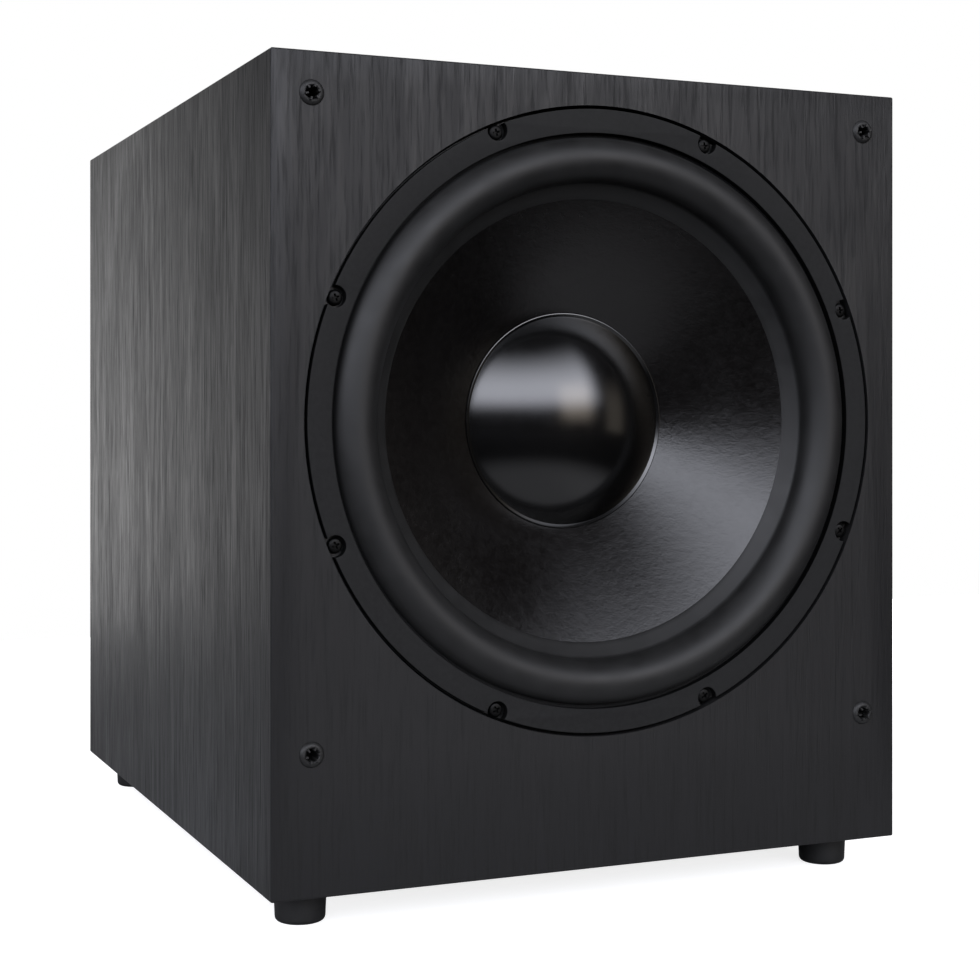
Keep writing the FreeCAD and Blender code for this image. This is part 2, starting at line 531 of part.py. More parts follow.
# finned heat sink on the outside of the plate
hx0, hx1, hz0, hz1 = HS
HS_T, HS_OUT = 3.5, 17.0
hs = [box(hx0, hx1, YP, YP + HS_T, hz0, hz1)]
n_fin = 13
for k in range(n_fin):
    xc = hx0 + 1.0 + k * (hx1 - hx0 - 2.0) / (n_fin - 1)
    hs.append(box(xc - 1.0, xc + 1.0, YP + HS_T - 0.5, YP + HS_OUT, hz0, hz1))
hs = fuse(hs)
hs = cut(hs, [ycyl(3.2, YP - 1, YP + HS_OUT + 1, *TR), ycyl(8.0, YP + HS_T, YP + HS_OUT + 1, *TR)])
put("heat_sink", hs)

# circuit board on standoffs inside, with the parts soldered to it
PCB = (-100.0, 103.0, PLATE_CZ + 26.0, PLATE_CZ + 102.0)
PCB_Y = YI - 14.0
pcb_screws = [(-94.0, PLATE_CZ + 32.0), (60.0, PLATE_CZ + 32.0), (-94.0, PLATE_CZ + 96.0), (20.0, PLATE_CZ + 68.0)]
put("circuit_board", cut(box(PCB[0], PCB[1], PCB_Y - 1.6, PCB_Y, PCB[2], PCB[3]), [ycyl(1.6, PCB_Y - 3, PCB_Y + 1, x, z) for x, z in pcb_screws]))
sto = []
for x, z in pcb_screws:
    hexa = Part.Face(Part.makePolygon([V(x + 3.2 * math.cos(math.radians(60 * i)), PCB_Y, z + 3.2 * math.sin(math.radians(60 * i))) for i in range(7)])).extrude(V(0, 14.0, 0))
    sto.append(fuse([hexa, ycyl(1.5, PCB_Y - 1.6, PCB_Y + 1, x, z), ycyl(2.8, PCB_Y - 3.4, PCB_Y - 1.6, x, z)]))
put("board_standoffs", Part.makeCompound(sto))
caps = []
for x, z in ((-70.0, PLATE_CZ + 82.0), (-40.0, PLATE_CZ + 82.0), (-10.0, PLATE_CZ + 82.0), (50.0, PLATE_CZ + 82.0)):
    c = ycyl(12.0, PCB_Y - 1.6 - 38.0, PCB_Y - 1.6, x, z)
    c = c.makeFillet(1.5, [e for e in c.Edges if len(e.Vertexes) == 1 and abs(e.Vertexes[0].Point.y - (PCB_Y - 39.6)) < 1e-6])
    caps.append(c)
put("reservoir_capacitors", Part.makeCompound(caps))
heat = []
for k in range(4):
    x = -76.0 + 24.0 * k
    heat.append(box(x - 8.0, x + 8.0, PCB_Y - 1.6 - 21.0, PCB_Y - 1.6, PLATE_CZ + 40.0, PLATE_CZ + 45.0))
put("power_transistors", Part.makeCompound(heat))

# toroidal mains transformer clamped to the inside of the plate
TR_R0, TR_R1, TR_H = 15.0, 42.0, 38.0
tdep = CAB_D + PLATE_SEAL_T                  # depth of its rear face, on the plate
segs = [("l", (TR_R0 + 5, tdep), (TR_R1 - 8, tdep)), ("a", (TR_R1 - 8, tdep), (TR_R1 - 8 + 8 * math.sin(math.radians(45)), tdep - 8 + 8 * math.cos(math.radians(45))), (TR_R1, tdep - 8)),
        ("l", (TR_R1, tdep - 8), (TR_R1, tdep - TR_H + 8)), ("a", (TR_R1, tdep - TR_H + 8), (TR_R1 - 8 + 8 * math.cos(math.radians(45)), tdep - TR_H + 8 - 8 * math.sin(math.radians(45))), (TR_R1 - 8, tdep - TR_H)),
        ("l", (TR_R1 - 8, tdep - TR_H), (TR_R0 + 5, tdep - TR_H)), ("l", (TR_R0 + 5, tdep - TR_H), (TR_R0, tdep - TR_H + 5)), ("l", (TR_R0, tdep - TR_H + 5), (TR_R0, tdep - 5)), ("l", (TR_R0, tdep - 5), (TR_R0 + 5, tdep))]
put("mains_transformer", spin(segs, *TR))
yt = YF + tdep
clamp = [spin_poly([(3.2, tdep - TR_H - 1.6), (30.0, tdep - TR_H - 1.6), (30.0, tdep - TR_H), (3.2, tdep - TR_H)], *TR),
         fuse([ycyl(3.0, yt - TR_H - 8.0, YP + HS_T + 3.0, *TR), ycyl(5.0, yt - TR_H - 6.6, yt - TR_H - 1.6, *TR)])]
clamp[1] = fuse([clamp[1], ycyl(5.5, YP + HS_T, YP + HS_T + 4.0, *TR)])
put("transformer_clamp", Part.makeCompound(clamp))

# rotary controls: pot with bush, shaft, knob
def pot(p):
    b = box(p[0] - 8.5, p[0] + 8.5, PCB_Y, YI, p[1] - 9.0, p[1] + 9.0)
    bush = ycyl(3.5, YI - 1, YP + 1.2, *p)
    s = fuse([b, bush])
    return s.cut([ycyl(3.06, YI - 6.0, YP + 3.0, *p)])


def shaft(p):
    return ycyl(3.0, YI - 5.6, YP + 14.0, *p)


def knob(p):
    y0, y1 = YP + 1.8, YP + KNOB_OUT
    k = ycyl(8.6, y0, y1, *p)
    k = k.makeFillet(1.2, [e for e in k.Edges if len(e.Vertexes) == 1 and abs(e.Vertexes[0].Point.y - y1) < 1e-6])
    t = [ycyl(3.0, y0 - 1, YP + 14.0, *p)]
    for i in range(24):
        a = math.radians(15 * i)
        t.append(ycyl(0.5, y0 + 2.0, y1 - 1.5, p[0] + 8.75 * math.cos(a), p[1] + 8.75 * math.sin(a)))
    t.append(box(p[0] - 0.5, p[0] + 0.5, y1 - 0.6, y1 + 1, p[1] + 2.0, p[1] + 9.0))
    return k.cut(t)


put("control_pots", Part.makeCompound([pot(VOL), pot(XOV)]))
put("volume_shaft", shaft(VOL))
put("volume_knob", knob(VOL))
put("crossover_shaft", shaft(XOV))
put("crossover_knob", knob(XOV))

# slide switches: case behind the plate with a wide chamber, slider with a foot in it and its grip through the slot
def slide_case(p):
    b = box(p[0] - 11.0, p[0] + 11.0, PCB_Y, YI, p[1] - 5.0, p[1] + 5.0)
    return b.cut([box(p[0] - SLOT_L / 2, p[0] + SLOT_L / 2, YI - 4.5, YI + 1, p[1] - SLOT_H / 2, p[1] + SLOT_H / 2),
                  box(p[0] - 7.4, p[0] + 7.4, YI - 4.5, YI - 0.9, p[1] - 3.7, p[1] + 3.7)])


def slider(p, off):
    c = p[0] + off
    s = box(c - 3.3, c + 3.3, YI - 4.2, YP + 3.2, p[1] - 2.3, p[1] + 2.3)
    s = s.makeFillet(0.4, [e for e in s.Edges if abs(e.BoundBox.YMax - (YP + 3.2)) < 0.01 and e.BoundBox.YLength < 0.01])
    s = fuse([s, box(c - 5.0, c + 5.0, YI - 4.2, YI - 1.2, p[1] - 3.4, p[1] + 3.4)])
    return s.cut([box(c + g - 0.3, c + g + 0.3, YP + 2.7, YP + 4, p[1] - 3, p[1] + 3) for g in (-1.6, 0.0, 1.6)])


put("slide_switch_cases", Part.makeCompound([slide_case(PHA), slide_case(MOD)]))
put("phase_slider", slider(PHA, 2.0))
put("mode_slider", slider(MOD, 0.0))

# status lamp
led = fuse([ycyl(1.5, PCB_Y, YP + 0.3, *LED), Part.makeSphere(1.5, V(LED[0], YP + 0.3, LED[1]), V(0, 1, 0)), ycyl(2.6, PCB_Y, YI, *LED)])
put("status_lamp", led)

# line input sockets
shells, insul = [], []
for x, z in RCA:
    shells.append(spin_poly([(3.25, CAB_D - 1.0), (4.6, CAB_D - 1.0), (4.6, CAB_D + 6.3), (4.15, CAB_D + 6.3), (4.15, CAB_D + 14.0), (3.25, CAB_D + 14.0)], x, z))
    ins = fuse([ycyl(3.25, PCB_Y, YP + 8.2, x, z), box(x - 8.5, x + 8.5, PCB_Y, YB - 1.0, z - 7.0, z + 7.0)])
    ins = ins.fuse([spin_poly([(4.6, CAB_D - 1.0), (5.0, CAB_D - 1.0), (5.0, CAB_D + 4.5), (7.0, CAB_D + 4.5), (7.0, CAB_D + 6.3), (4.6, CAB_D + 6.3)], x, z)])
    ins = ins.removeSplitter().cut([ycyl(1.65, YB, YP + 10.0, x, z)])
    insul.append(ins)
put("line_input_shells", Part.makeCompound(shells))
put("line_input_insulators", Part.makeCompound(insul))

# high level input posts
bases, studs = [], []
for x, z in POSTS:
    b = fuse([ycyl(7.2, YP, YP + 4.6, x, z), ycyl(4.0, YI - 3.0, YP + 1, x, z), ycyl(7.0, YI - 3.0, YI, x, z)])
    b = b.cut([ycyl(3.05, YI - 5, YP + 6, x, z)])
    bases.append(b)
    st = fuse([ycyl(3.0, PCB_Y, YP + 15.0, x, z), ycyl(5.0, YI - 6.5, YI - 3.0, x, z)])
    st = st.cut([Part.makeCylinder(1.3, 10.0, V(x - 5, YP + 4.95, z), V(1, 0, 0))])
    studs.append(st)
put("post_bases", Part.makeCompound(bases))
put("post_studs", Part.makeCompound(studs))
for i, (x, z) in enumerate(POSTS):
    y0, y1 = YP + 6.6, YP + 18.4
    c = ycyl(7.2, y0, y1, x, z)
    c = c.makeFillet(1.0, [e for e in c.Edges if len(e.Vertexes) == 1 and abs(e.Vertexes[0].Point.y - y1) < 1e-6])
    c = fuse([c, ycyl(5.6, YP + 5.0, y0 + 0.5, x, z)])
    t = [ycyl(3.06, YP + 4.0, YP + 15.4, x, z)]
    for k in range(18):
        a = math.radians(20 * k)
        t.append(ycyl(0.55, y0 - 0.5, y1 - 1.6, x + 7.35 * math.cos(a), z + 7.35 * math.sin(a)))
    put("post_cap_%d" % (i + 1), c.cut(t))

# mains inlet with its fuse drawer
fx, fz = IEC
fl = box(fx - 16.0, fx + 16.0, YP, YP + 3.0, fz - 18.5, fz + 18.5)
fl = fl.makeFillet(2.5, [e for e in fl.Edges if abs(e.Vertexes[0].Point.y - e.Vertexes[-1].Point.y) > 1])
fl = fl.makeFillet(0.6, [e for e in fl.Edges if abs(e.BoundBox.YMax - (YP + 3.0)) < 0.01 and e.BoundBox.YLength < 0.01])
body = box(fx - IEC_W / 2, fx + IEC_W / 2, YP - 25.0, YP + 1.0, fz - IEC_H / 2, fz + IEC_H / 2)
tabs = [box(fx + sx * (IEC_W / 2 + 0.7) - 0.7, fx + sx * (IEC_W / 2 + 0.7) + 0.7, YP - 9.0, YI - 0.3, fz - 5.0, fz + 5.0) for sx in (-1, 1)]
inl = fuse([fl, body] + tabs)
cz = fz + 5.2                                  # socket cavity centre
cw, ch, cd = 24.4, 16.4, 17.0
cav_pts = [(-cw / 2, -ch / 2), (cw / 2, -ch / 2), (cw / 2, ch / 2 - 5.0), (cw / 2 - 5.0, ch / 2), (-cw / 2 + 5.0, ch / 2), (-cw / 2, ch / 2 - 5.0)]
pts = [V(fx + a, YP + 3.0 - cd, cz + b) for a, b in cav_pts]
cav = Part.Face(Part.makePolygon(pts + [pts[0]])).extrude(V(0, cd + 2.0, 0))
DW, DH = 22.0, 8.4
dz = fz - 10.4                                  # fuse drawer centre
drw = box(fx - DW / 2 - 0.3, fx + DW / 2 + 0.3, YP - 22.5, YP + 4.0, dz - DH / 2 - 0.3, dz + DH / 2 + 0.3)
pins = [box(fx - 8.0, fx - 6.0, YP - 31.0, YP - 0.5, cz - 4.0, cz), box(fx + 6.0, fx + 8.0, YP - 31.0, YP - 0.5, cz - 4.0, cz),
        box(fx - 1.0, fx + 1.0, YP - 31.0, YP + 1.0, cz, cz + 4.0)]
put("mains_inlet", inl.cut([cav, drw] + pins))
put("inlet_pins", Part.makeCompound(pins))
fd = box(fx - DW / 2, fx + DW / 2, YP + 1.6, YP + 3.6, dz - DH / 2, dz + DH / 2)
fd = fuse([fd, box(fx - DW / 2 + 0.5, fx - DW / 2 + 3.0, YP - 21.5, YP + 2.0, dz - DH / 2 + 0.6, dz + DH / 2 - 0.6),
           box(fx + DW / 2 - 3.0, fx + DW / 2 - 0.5, YP - 21.5, YP + 2.0, dz - DH / 2 + 0.6, dz + DH / 2 - 0.6),
           box(fx - DW / 2 + 0.5, fx + DW / 2 - 0.5, YP - 21.5, YP + 2.0, dz - DH / 2 + 0.6, dz - DH / 2 + 1.6)])
fd = fd.cut([box(fx - 4.0, fx + 4.0, YP + 2.6, YP + 5.0, dz + 1.6, dz + 6.0)])
put("fuse_drawer", fd)
put("fuse", ycyl(2.55, YP - 20.5, YP - 0.5, fx, dz - DH / 2 + 1.6 + 2.55))

# mains rocker switch: bezel and housing, rocker on two pivot stubs
rx, rz = ROC
bz = box(rx - 8.2, rx + 8.2, YP, YP + 1.8, rz - 11.4, rz + 11.4)
bz = bz.makeFillet(1.2, [e for e in bz.Edges if abs(e.Vertexes[0].Point.y - e.Vertexes[-1].Point.y) > 1])
hs2 = box(rx - ROC_W / 2, rx + ROC_W / 2, YP - 14.0, YP + 1.0, rz - ROC_H / 2, rz + ROC_H / 2)
RW = 11.2
PIV = YP - 2.0
house = fuse([bz, hs2]).cut([box(rx - RW / 2 - 0.3, rx + RW / 2 + 0.3, YP - 11.0, YP + 3.0, rz - 9.3, rz + 9.3),
                             Part.makeCylinder(1.26, RW + 2.4, V(rx - RW / 2 - 1.2, PIV, rz), V(1, 0, 0))])
put("rocker_housing", house)
h = 8.3
prof = [(-h, 4.3), (0.0, 3.15), (h, 4.3), (h, -0.5), (3.5, -4.5), (-3.5, -4.5), (-h, -0.5)]
ppts = [V(rx - RW / 2, PIV + b, rz + a) for a, b in prof]
rk = Part.Face(Part.makePolygon(ppts + [ppts[0]])).extrude(V(RW, 0, 0))
rk = rk.fuse([Part.makeCylinder(1.2, RW + 1.6, V(rx - RW / 2 - 0.8, PIV, rz), V(1, 0, 0))]).removeSplitter()
rk.rotate(V(rx, PIV, rz), V(1, 0, 0), -8.0)
put("mains_rocker", rk)

# speaker leads from the driver's lugs, through a lower window of the brace, to the circuit board
leads = []
for i, sx in enumerate((-1, 1)):
    x0, _, z0 = low(86.0, 80.0, LUG_ANG * sx)
    x1 = 30.0 + 9.0 * i
    pts = [(x0, 80.0, z0), (x0, 104.0, z0), (x0 + 0.25 * (x1 - x0), 132.0, z0 - 3.0), (x0 + 0.65 * (x1 - x0), 160.0, z0 - 6.0), (x1, 192.0, z0 - 8.0),
           (x1 + 1.0, 226.0, z0 - 6.0), (x1 - 1.0, 260.0, z0 + 2.0), (x1 - 2.0, 292.0, z0 + 14.0), (x1, 322.0, z0 + 28.0),
           (x1 + 2.0, 350.0, z0 + 41.0), (x1 + 3.0, 378.0, z0 + 50.0), (x1 + 3.0, (PCB_Y - 1.6) - YF, z0 + 54.0)]
    pts[-1] = (x1 + 3.0, (PCB_Y - 1.6) - YF, pts[-2][2])
    leads.append(tube([(a, YF + b, c) for a, b, c in pts], 1.25))
put("speaker_leads", Part.makeCompound(leads))

lo = [1e9] * 3
hi = [-1e9] * 3
for s in MADE.values():
    b = s.BoundBox
    lo = [min(lo[0], b.XMin), min(lo[1], b.YMin), min(lo[2], b.ZMin)]
    hi = [max(hi[0], b.XMax), max(hi[1], b.YMax), max(hi[2], b.ZMax)]
print("nodes", len(MADE), "box", [round(v, 3) for v in lo], [round(v, 3) for v in hi], "YF", YF, "YB", YB, "YP", YP, "ZC", ZC)
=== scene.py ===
import bpy
import bmesh
import json
import math
from mathutils import Vector, Matrix


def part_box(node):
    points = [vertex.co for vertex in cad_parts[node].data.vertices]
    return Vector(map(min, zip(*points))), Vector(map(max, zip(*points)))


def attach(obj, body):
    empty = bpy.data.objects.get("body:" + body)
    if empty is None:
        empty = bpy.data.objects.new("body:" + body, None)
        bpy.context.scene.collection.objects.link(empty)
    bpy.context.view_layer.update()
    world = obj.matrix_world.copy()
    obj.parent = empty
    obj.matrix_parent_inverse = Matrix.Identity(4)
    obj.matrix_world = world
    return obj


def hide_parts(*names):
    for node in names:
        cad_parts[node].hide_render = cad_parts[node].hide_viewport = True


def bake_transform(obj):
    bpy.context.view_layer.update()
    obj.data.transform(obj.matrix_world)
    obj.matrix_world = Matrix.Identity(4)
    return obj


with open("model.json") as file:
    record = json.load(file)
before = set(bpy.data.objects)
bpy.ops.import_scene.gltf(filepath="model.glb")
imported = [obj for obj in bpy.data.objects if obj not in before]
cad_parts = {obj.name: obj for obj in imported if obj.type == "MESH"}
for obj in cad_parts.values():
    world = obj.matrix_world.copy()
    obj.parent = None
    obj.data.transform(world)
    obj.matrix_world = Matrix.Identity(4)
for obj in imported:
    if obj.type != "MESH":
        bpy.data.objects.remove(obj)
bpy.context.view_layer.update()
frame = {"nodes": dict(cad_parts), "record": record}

NODES = frame["nodes"]

# ------------------------------------------------------------------ frame numbers, metres
MM = 0.001
_lo, _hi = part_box("front_baffle")
YF = _lo.y
ZC = 0.243
HX = 0.175
Z0, Z1 = 0.018, 0.418
D_CAB = 0.420
YB = YF + D_CAB
YI = YB + 0.0015
YP = YB + 0.0045
K = 0.598


FLARE = 2.5


def dcone(r):
    """Depth of the cone's front face at radius r, both in mm: a slightly flared cone."""
    t = (122.2 - r) / 95.3
    return 14.8 + (113.0 - r) * K - 4.0 * FLARE * t * (1.0 - t)


# ------------------------------------------------------------------ node helpers
def nodes_of(name):
    m = bpy.data.materials.new(name)
    m.use_nodes = True
    nt = m.node_tree
    nt.nodes.clear()
    out = nt.nodes.new("ShaderNodeOutputMaterial")
    b = nt.nodes.new("ShaderNodeBsdfPrincipled")
    nt.links.new(b.outputs[0], out.inputs[0])
    return m, nt, b


def add(nt, kind, **props):
    n = nt.nodes.new(kind)
    for k, v in props.items():
        setattr(n, k, v)
    return n


def feed(nt, sock, value):
    if hasattr(value, "is_output"):
        nt.links.new(value, sock)
    else:
        sock.default_value = value


def coords(nt, scale=(1, 1, 1), rot=(0, 0, 0), loc=(0, 0, 0)):
    tc = add(nt, "ShaderNodeTexCoord")
    mp = add(nt, "ShaderNodeMapping")
    mp.inputs["Scale"].default_value = scale
    mp.inputs["Rotation"].default_value = rot
    mp.inputs["Location"].default_value = loc
    nt.links.new(tc.outputs["Object"], mp.inputs["Vector"])
    return mp.outputs[0]


def noise(nt, vec, scale, detail=4.0, rough=0.55, dist=0.0, lac=2.0):
    n = add(nt, "ShaderNodeTexNoise")
    nt.links.new(vec, n.inputs["Vector"])
    n.inputs["Scale"].default_value = scale
    n.inputs["Detail"].default_value = detail
    n.inputs["Roughness"].default_value = rough
    n.inputs["Lacunarity"].default_value = lac
    n.inputs["Distortion"].default_value = dist
    return n.outputs["Fac"]


def ramp(nt, fac, stops):
    r = add(nt, "ShaderNodeValToRGB")
    cr = r.color_ramp
    while len(cr.elements) < len(stops):
        cr.elements.new(0.5)
    for e, (p, c) in zip(cr.elements, stops):
        e.position = p
        e.color = (c[0], c[1], c[2], 1.0) if isinstance(c, (tuple, list)) else (c, c, c, 1.0)
    nt.links.new(fac, r.inputs[0])
    return r.outputs[0]


def rng(nt, fac, a, b, lo=0.0, hi=1.0, clamp=True):
    m = add(nt, "ShaderNodeMapRange")
    m.clamp = clamp
    nt.links.new(fac, m.inputs["Value"])
    m.inputs["From Min"].default_value = lo
    m.inputs["From Max"].default_value = hi
    m.inputs["To Min"].default_value = a
    m.inputs["To Max"].default_value = b
    return m.outputs[0]


def mth(nt, op, a, b=None, c=None):
    m = add(nt, "ShaderNodeMath", operation=op)
    feed(nt, m.inputs[0], a)
    if b is not None:
        feed(nt, m.inputs[1], b)
    if c is not None:
        feed(nt, m.inputs[2], c)
    return m.outputs[0]


def mixc(nt, fac, a, b, mode="MIX"):
    m = add(nt, "ShaderNodeMix", data_type="RGBA", blend_type=mode)
    feed(nt, m.inputs[0], fac)
    feed(nt, m.inputs[6], a if hasattr(a, "is_output") else (a[0], a[1], a[2], 1.0))
    feed(nt, m.inputs[7], b if hasattr(b, "is_output") else (b[0], b[1], b[2], 1.0))
    return m.outputs[2]


def bump(nt, height, strength, dist=0.0002, normal=None):
    b = add(nt, "ShaderNodeBump")
    b.inputs["Strength"].default_value = strength
    b.inputs["Distance"].default_value = dist
    nt.links.new(height, b.inputs["Height"])
    if normal is not None:
        nt.links.new(normal, b.inputs["Normal"])
    return b.outputs[0]


def grey(v):
    return (v, v, v)


# ------------------------------------------------------------------ materials
def make(name, base, rough=0.5, metal=0.0, var=0.18, scale=300.0, fine=1800.0, strength=0.12, dist=0.00015, stretch=(1, 1, 1),
         spec=0.5, coat=0.0, coat_rough=0.1, rvar=0.08, cloud=25.0, sheen=0.0, tint=None, trans=0.0, ior=None, emit=None):
    """General surface: two scales of colour change, uneven gloss and a fine bump."""
    m, nt, b = nodes_of(name)
    v = coords(nt, stretch)
    big = noise(nt, v, cloud, 3.0, 0.5)
    mid = noise(nt, v, scale, 5.0, 0.6)
    fin = noise(nt, v, fine, 3.0, 0.6)
    lo = tuple(max(0.0, c * (1.0 - var)) for c in base)
    hi = tuple(min(1.0, c * (1.0 + var)) for c in base)
    col = mixc(nt, rng(nt, mid, 0.0, 1.0, 0.3, 0.7), lo, hi)
    t = tint if tint else tuple(min(1.0, c * (1.0 + 1.2 * var)) for c in base)
    col = mixc(nt, rng(nt, big, 0.0, 0.45, 0.42, 0.75), col, t)
    nt.links.new(col, b.inputs["Base Color"])
    r = mth(nt, "ADD", rng(nt, mid, rough - rvar, rough + rvar, 0.3, 0.7), rng(nt, big, -0.5 * rvar, 0.5 * rvar, 0.3, 0.7))
    nt.links.new(r, b.inputs["Roughness"])
    h = mth(nt, "ADD", fin, mth(nt, "MULTIPLY", mid, 0.6))
    nt.links.new(bump(nt, h, strength, dist), b.inputs["Normal"])
    b.inputs["Metallic"].default_value = metal
    b.inputs["Specular IOR Level"].default_value = spec
    b.inputs["Coat Weight"].default_value = coat
    b.inputs["Coat Roughness"].default_value = coat_rough
    b.inputs["Sheen Weight"].default_value = sheen
    b.inputs["Transmission Weight"].default_value = trans
    if ior:
        b.inputs["IOR"].default_value = ior
    if emit:
        b.inputs["Emission Color"].default_value = (emit[0], emit[1], emit[2], 1.0)
        b.inputs["Emission Strength"].default_value = emit[3]
    return m


def ash(name, along="z", base=0.0055, seed=0.0, depth=1.0):
    """Black ash vinyl: growth-ring figure, wavy strands, open pores along the grain, embossed."""
    m, nt, b = nodes_of(name)

    def st(g):
        return (1, 1, g) if along == "z" else ((g, 1, 1) if along == "x" else (1, g, 1))
    off = (seed, seed * 0.7, seed * 1.3)
    fine = noise(nt, coords(nt, st(0.035), loc=off), 1500.0, 2.0, 0.6)
    pores = noise(nt, coords(nt, st(0.05), loc=off), 620.0, 3.0, 0.65)
    strand = noise(nt, coords(nt, st(0.075), loc=off), 250.0, 3.0, 0.62, 0.9)
    mid = noise(nt, coords(nt, st(0.10), loc=off), 120.0, 4.0, 0.6, 0.6)
    # growth rings: contours of a stretched, slowly changing field
    fld = noise(nt, coords(nt, st(0.12), loc=off), 5.0, 2.5, 0.45, 0.25)
    ring = mth(nt, "FRACT", mth(nt, "ADD", mth(nt, "MULTIPLY", fld, 17.0), mth(nt, "MULTIPLY", mid, 0.55)))
    late = mth(nt, "MULTIPLY", mth(nt, "POWER", ring, 2.2), rng(nt, ring, 1.0, 0.0, 0.93, 1.0))
    pore_mask = rng(nt, pores, 0.0, 1.0, 0.50, 0.66)
    str_mask = rng(nt, strand, 0.0, 1.0, 0.38, 0.64)
    light = mth(nt, "ADD", mth(nt, "MULTIPLY", late, 0.38), mth(nt, "MULTIPLY", rng(nt, mid, 0.0, 1.0, 0.3, 0.7), 0.16))
    light = mth(nt, "ADD", light, mth(nt, "MULTIPLY", rng(nt, fine, 0.0, 1.0, 0.3, 0.7), 0.16))
    light = mth(nt, "ADD", light, mth(nt, "MULTIPLY", str_mask, 0.32))
    tint = (0.98, 0.98, 1.06)
    col = mixc(nt, light, tuple(base * (1.0 - 0.50 * depth) * t for t in tint), tuple(base * (1.0 + 0.75 * depth) * t for t in tint))
    col = mixc(nt, mth(nt, "MULTIPLY", pore_mask, 0.75), col, grey(base * 0.25))
    nt.links.new(col, b.inputs["Base Color"])
    rr = mth(nt, "ADD", mth(nt, "ADD", rng(nt, late, 0.50, 0.43), rng(nt, str_mask, 0.03, -0.05)), mth(nt, "MULTIPLY", pore_mask, 0.14))
    nt.links.new(rr, b.inputs["Roughness"])
    h = mth(nt, "SUBTRACT", mth(nt, "ADD", mth(nt, "MULTIPLY", late, 0.25), mth(nt, "MULTIPLY", fine, 0.30)), mth(nt, "MULTIPLY", pore_mask, 0.8))
    n1 = bump(nt, str_mask, 0.30, 0.00022)
    nt.links.new(bump(nt, h, 0.30, 0.00016, n1), b.inputs["Normal"])
    b.inputs["Specular IOR Level"].default_value = 0.31
    return m


def polar(nt, cx=0.0, cz=ZC):
    """(x, z, radius) about the driver's axis as node outputs."""
    tc = add(nt, "ShaderNodeTexCoord")
    sep = add(nt, "ShaderNodeSeparateXYZ")
    nt.links.new(tc.outputs["Object"], sep.inputs[0])
    x = mth(nt, "SUBTRACT", sep.outputs[0], cx)
    z = mth(nt, "SUBTRACT", sep.outputs[2], cz)
    r = mth(nt, "SQRT", mth(nt, "ADD", mth(nt, "MULTIPLY", x, x), mth(nt, "MULTIPLY", z, z)))
    return x, z, r


def cone_mat():
    """Coated pulp: mottled fibres, fine felt texture and radial drag marks in a thin lacquer."""
    m, nt, b = nodes_of("coated_pulp")
    x, z, r = polar(nt)
    inv = mth(nt, "DIVIDE", 1.0, mth(nt, "MAXIMUM", r, 0.01))
    comb = add(nt, "ShaderNodeCombineXYZ")
    nt.links.new(mth(nt, "MULTIPLY", x, inv), comb.inputs[0])
    nt.links.new(mth(nt, "MULTIPLY", z, inv), comb.inputs[1])
    nt.links.new(mth(nt, "MULTIPLY", r, 2.2), comb.inputs[2])
    radial = noise(nt, comb.outputs[0], 34.0, 4.0, 0.6, 0.15)
    v = coords(nt)
    felt = noise(nt, v, 1100.0, 4.0, 0.7)
    clump = noise(nt, v, 260.0, 4.0, 0.6, 0.4)
    big = noise(nt, v, 28.0, 3.0, 0.5)
    col = mixc(nt, rng(nt, clump, 0.0, 1.0, 0.3, 0.7), (0.0014, 0.0011, 0.0010), (0.0026, 0.0022, 0.0021))
    col = mixc(nt, rng(nt, felt, 0.0, 0.5, 0.5, 0.75), col, grey(0.005))
    nt.links.new(col, b.inputs["Base Color"])
    rr = mth(nt, "ADD", rng(nt, radial, 0.17, 0.21, 0.25, 0.75), rng(nt, big, -0.025, 0.035, 0.35, 0.65))
    rr = mth(nt, "ADD", rr, rng(nt, clump, -0.03, 0.04, 0.3, 0.7))
    rr = mth(nt, "ADD", rr, rng(nt, r, 0.0, 0.03, 0.080, 0.120))
    nt.links.new(rr, b.inputs["Roughness"])
    n1 = bump(nt, mth(nt, "ADD", mth(nt, "MULTIPLY", radial, 0.3), big), 0.06, 0.0005)
    h = mth(nt, "ADD", mth(nt, "MULTIPLY", clump, 0.9), mth(nt, "MULTIPLY", felt, 0.7))
    nt.links.new(bump(nt, h, 0.46, 0.00024, n1), b.inputs["Normal"])
    b.inputs["Specular IOR Level"].default_value = 0.47
    return m


def surround_mat():
    """Butyl rubber: matt skin with faint moulding rings, and painted shade at the outer foot of the roll."""
    m, nt, b = nodes_of("butyl_roll")
    x, z, r = polar(nt)
    v = coords(nt)
    fine = noise(nt, v, 2400.0, 3.0, 0.6)
    mott = noise(nt, v, 90.0, 4.0, 0.55)
    rings = add(nt, "ShaderNodeTexNoise", noise_dimensions="1D")
    nt.links.new(r, rings.inputs["W"])
    rings.inputs["Scale"].default_value = 1500.0
    rings.inputs["Detail"].default_value = 2.0
    col = mixc(nt, rng(nt, mott, 0.0, 1.0, 0.3, 0.7), grey(0.0048), grey(0.0075))
    # Painted shade: from 141.5 mm out, fully from 142.8 mm, the roll's outer foot turns near black and rougher, as the
    # shaded groove under the gasket's inner edge.
    rim = rng(nt, r, 0.0, 1.0, 0.1415, 0.1428)
    col = mixc(nt, rim, col, grey(0.0006))
    nt.links.new(col, b.inputs["Base Color"])
    nt.links.new(mth(nt, "ADD", rng(nt, mott, 0.48, 0.58, 0.3, 0.7), mth(nt, "MULTIPLY", rim, 0.40)), b.inputs["Roughness"])
    h = mth(nt, "ADD", mth(nt, "MULTIPLY", rings.outputs["Fac"], 0.25), mth(nt, "MULTIPLY", fine, 0.6))
    nt.links.new(bump(nt, h, 0.10, 0.0001), b.inputs["Normal"])
    b.inputs["Specular IOR Level"].default_value = 0.36
    return m


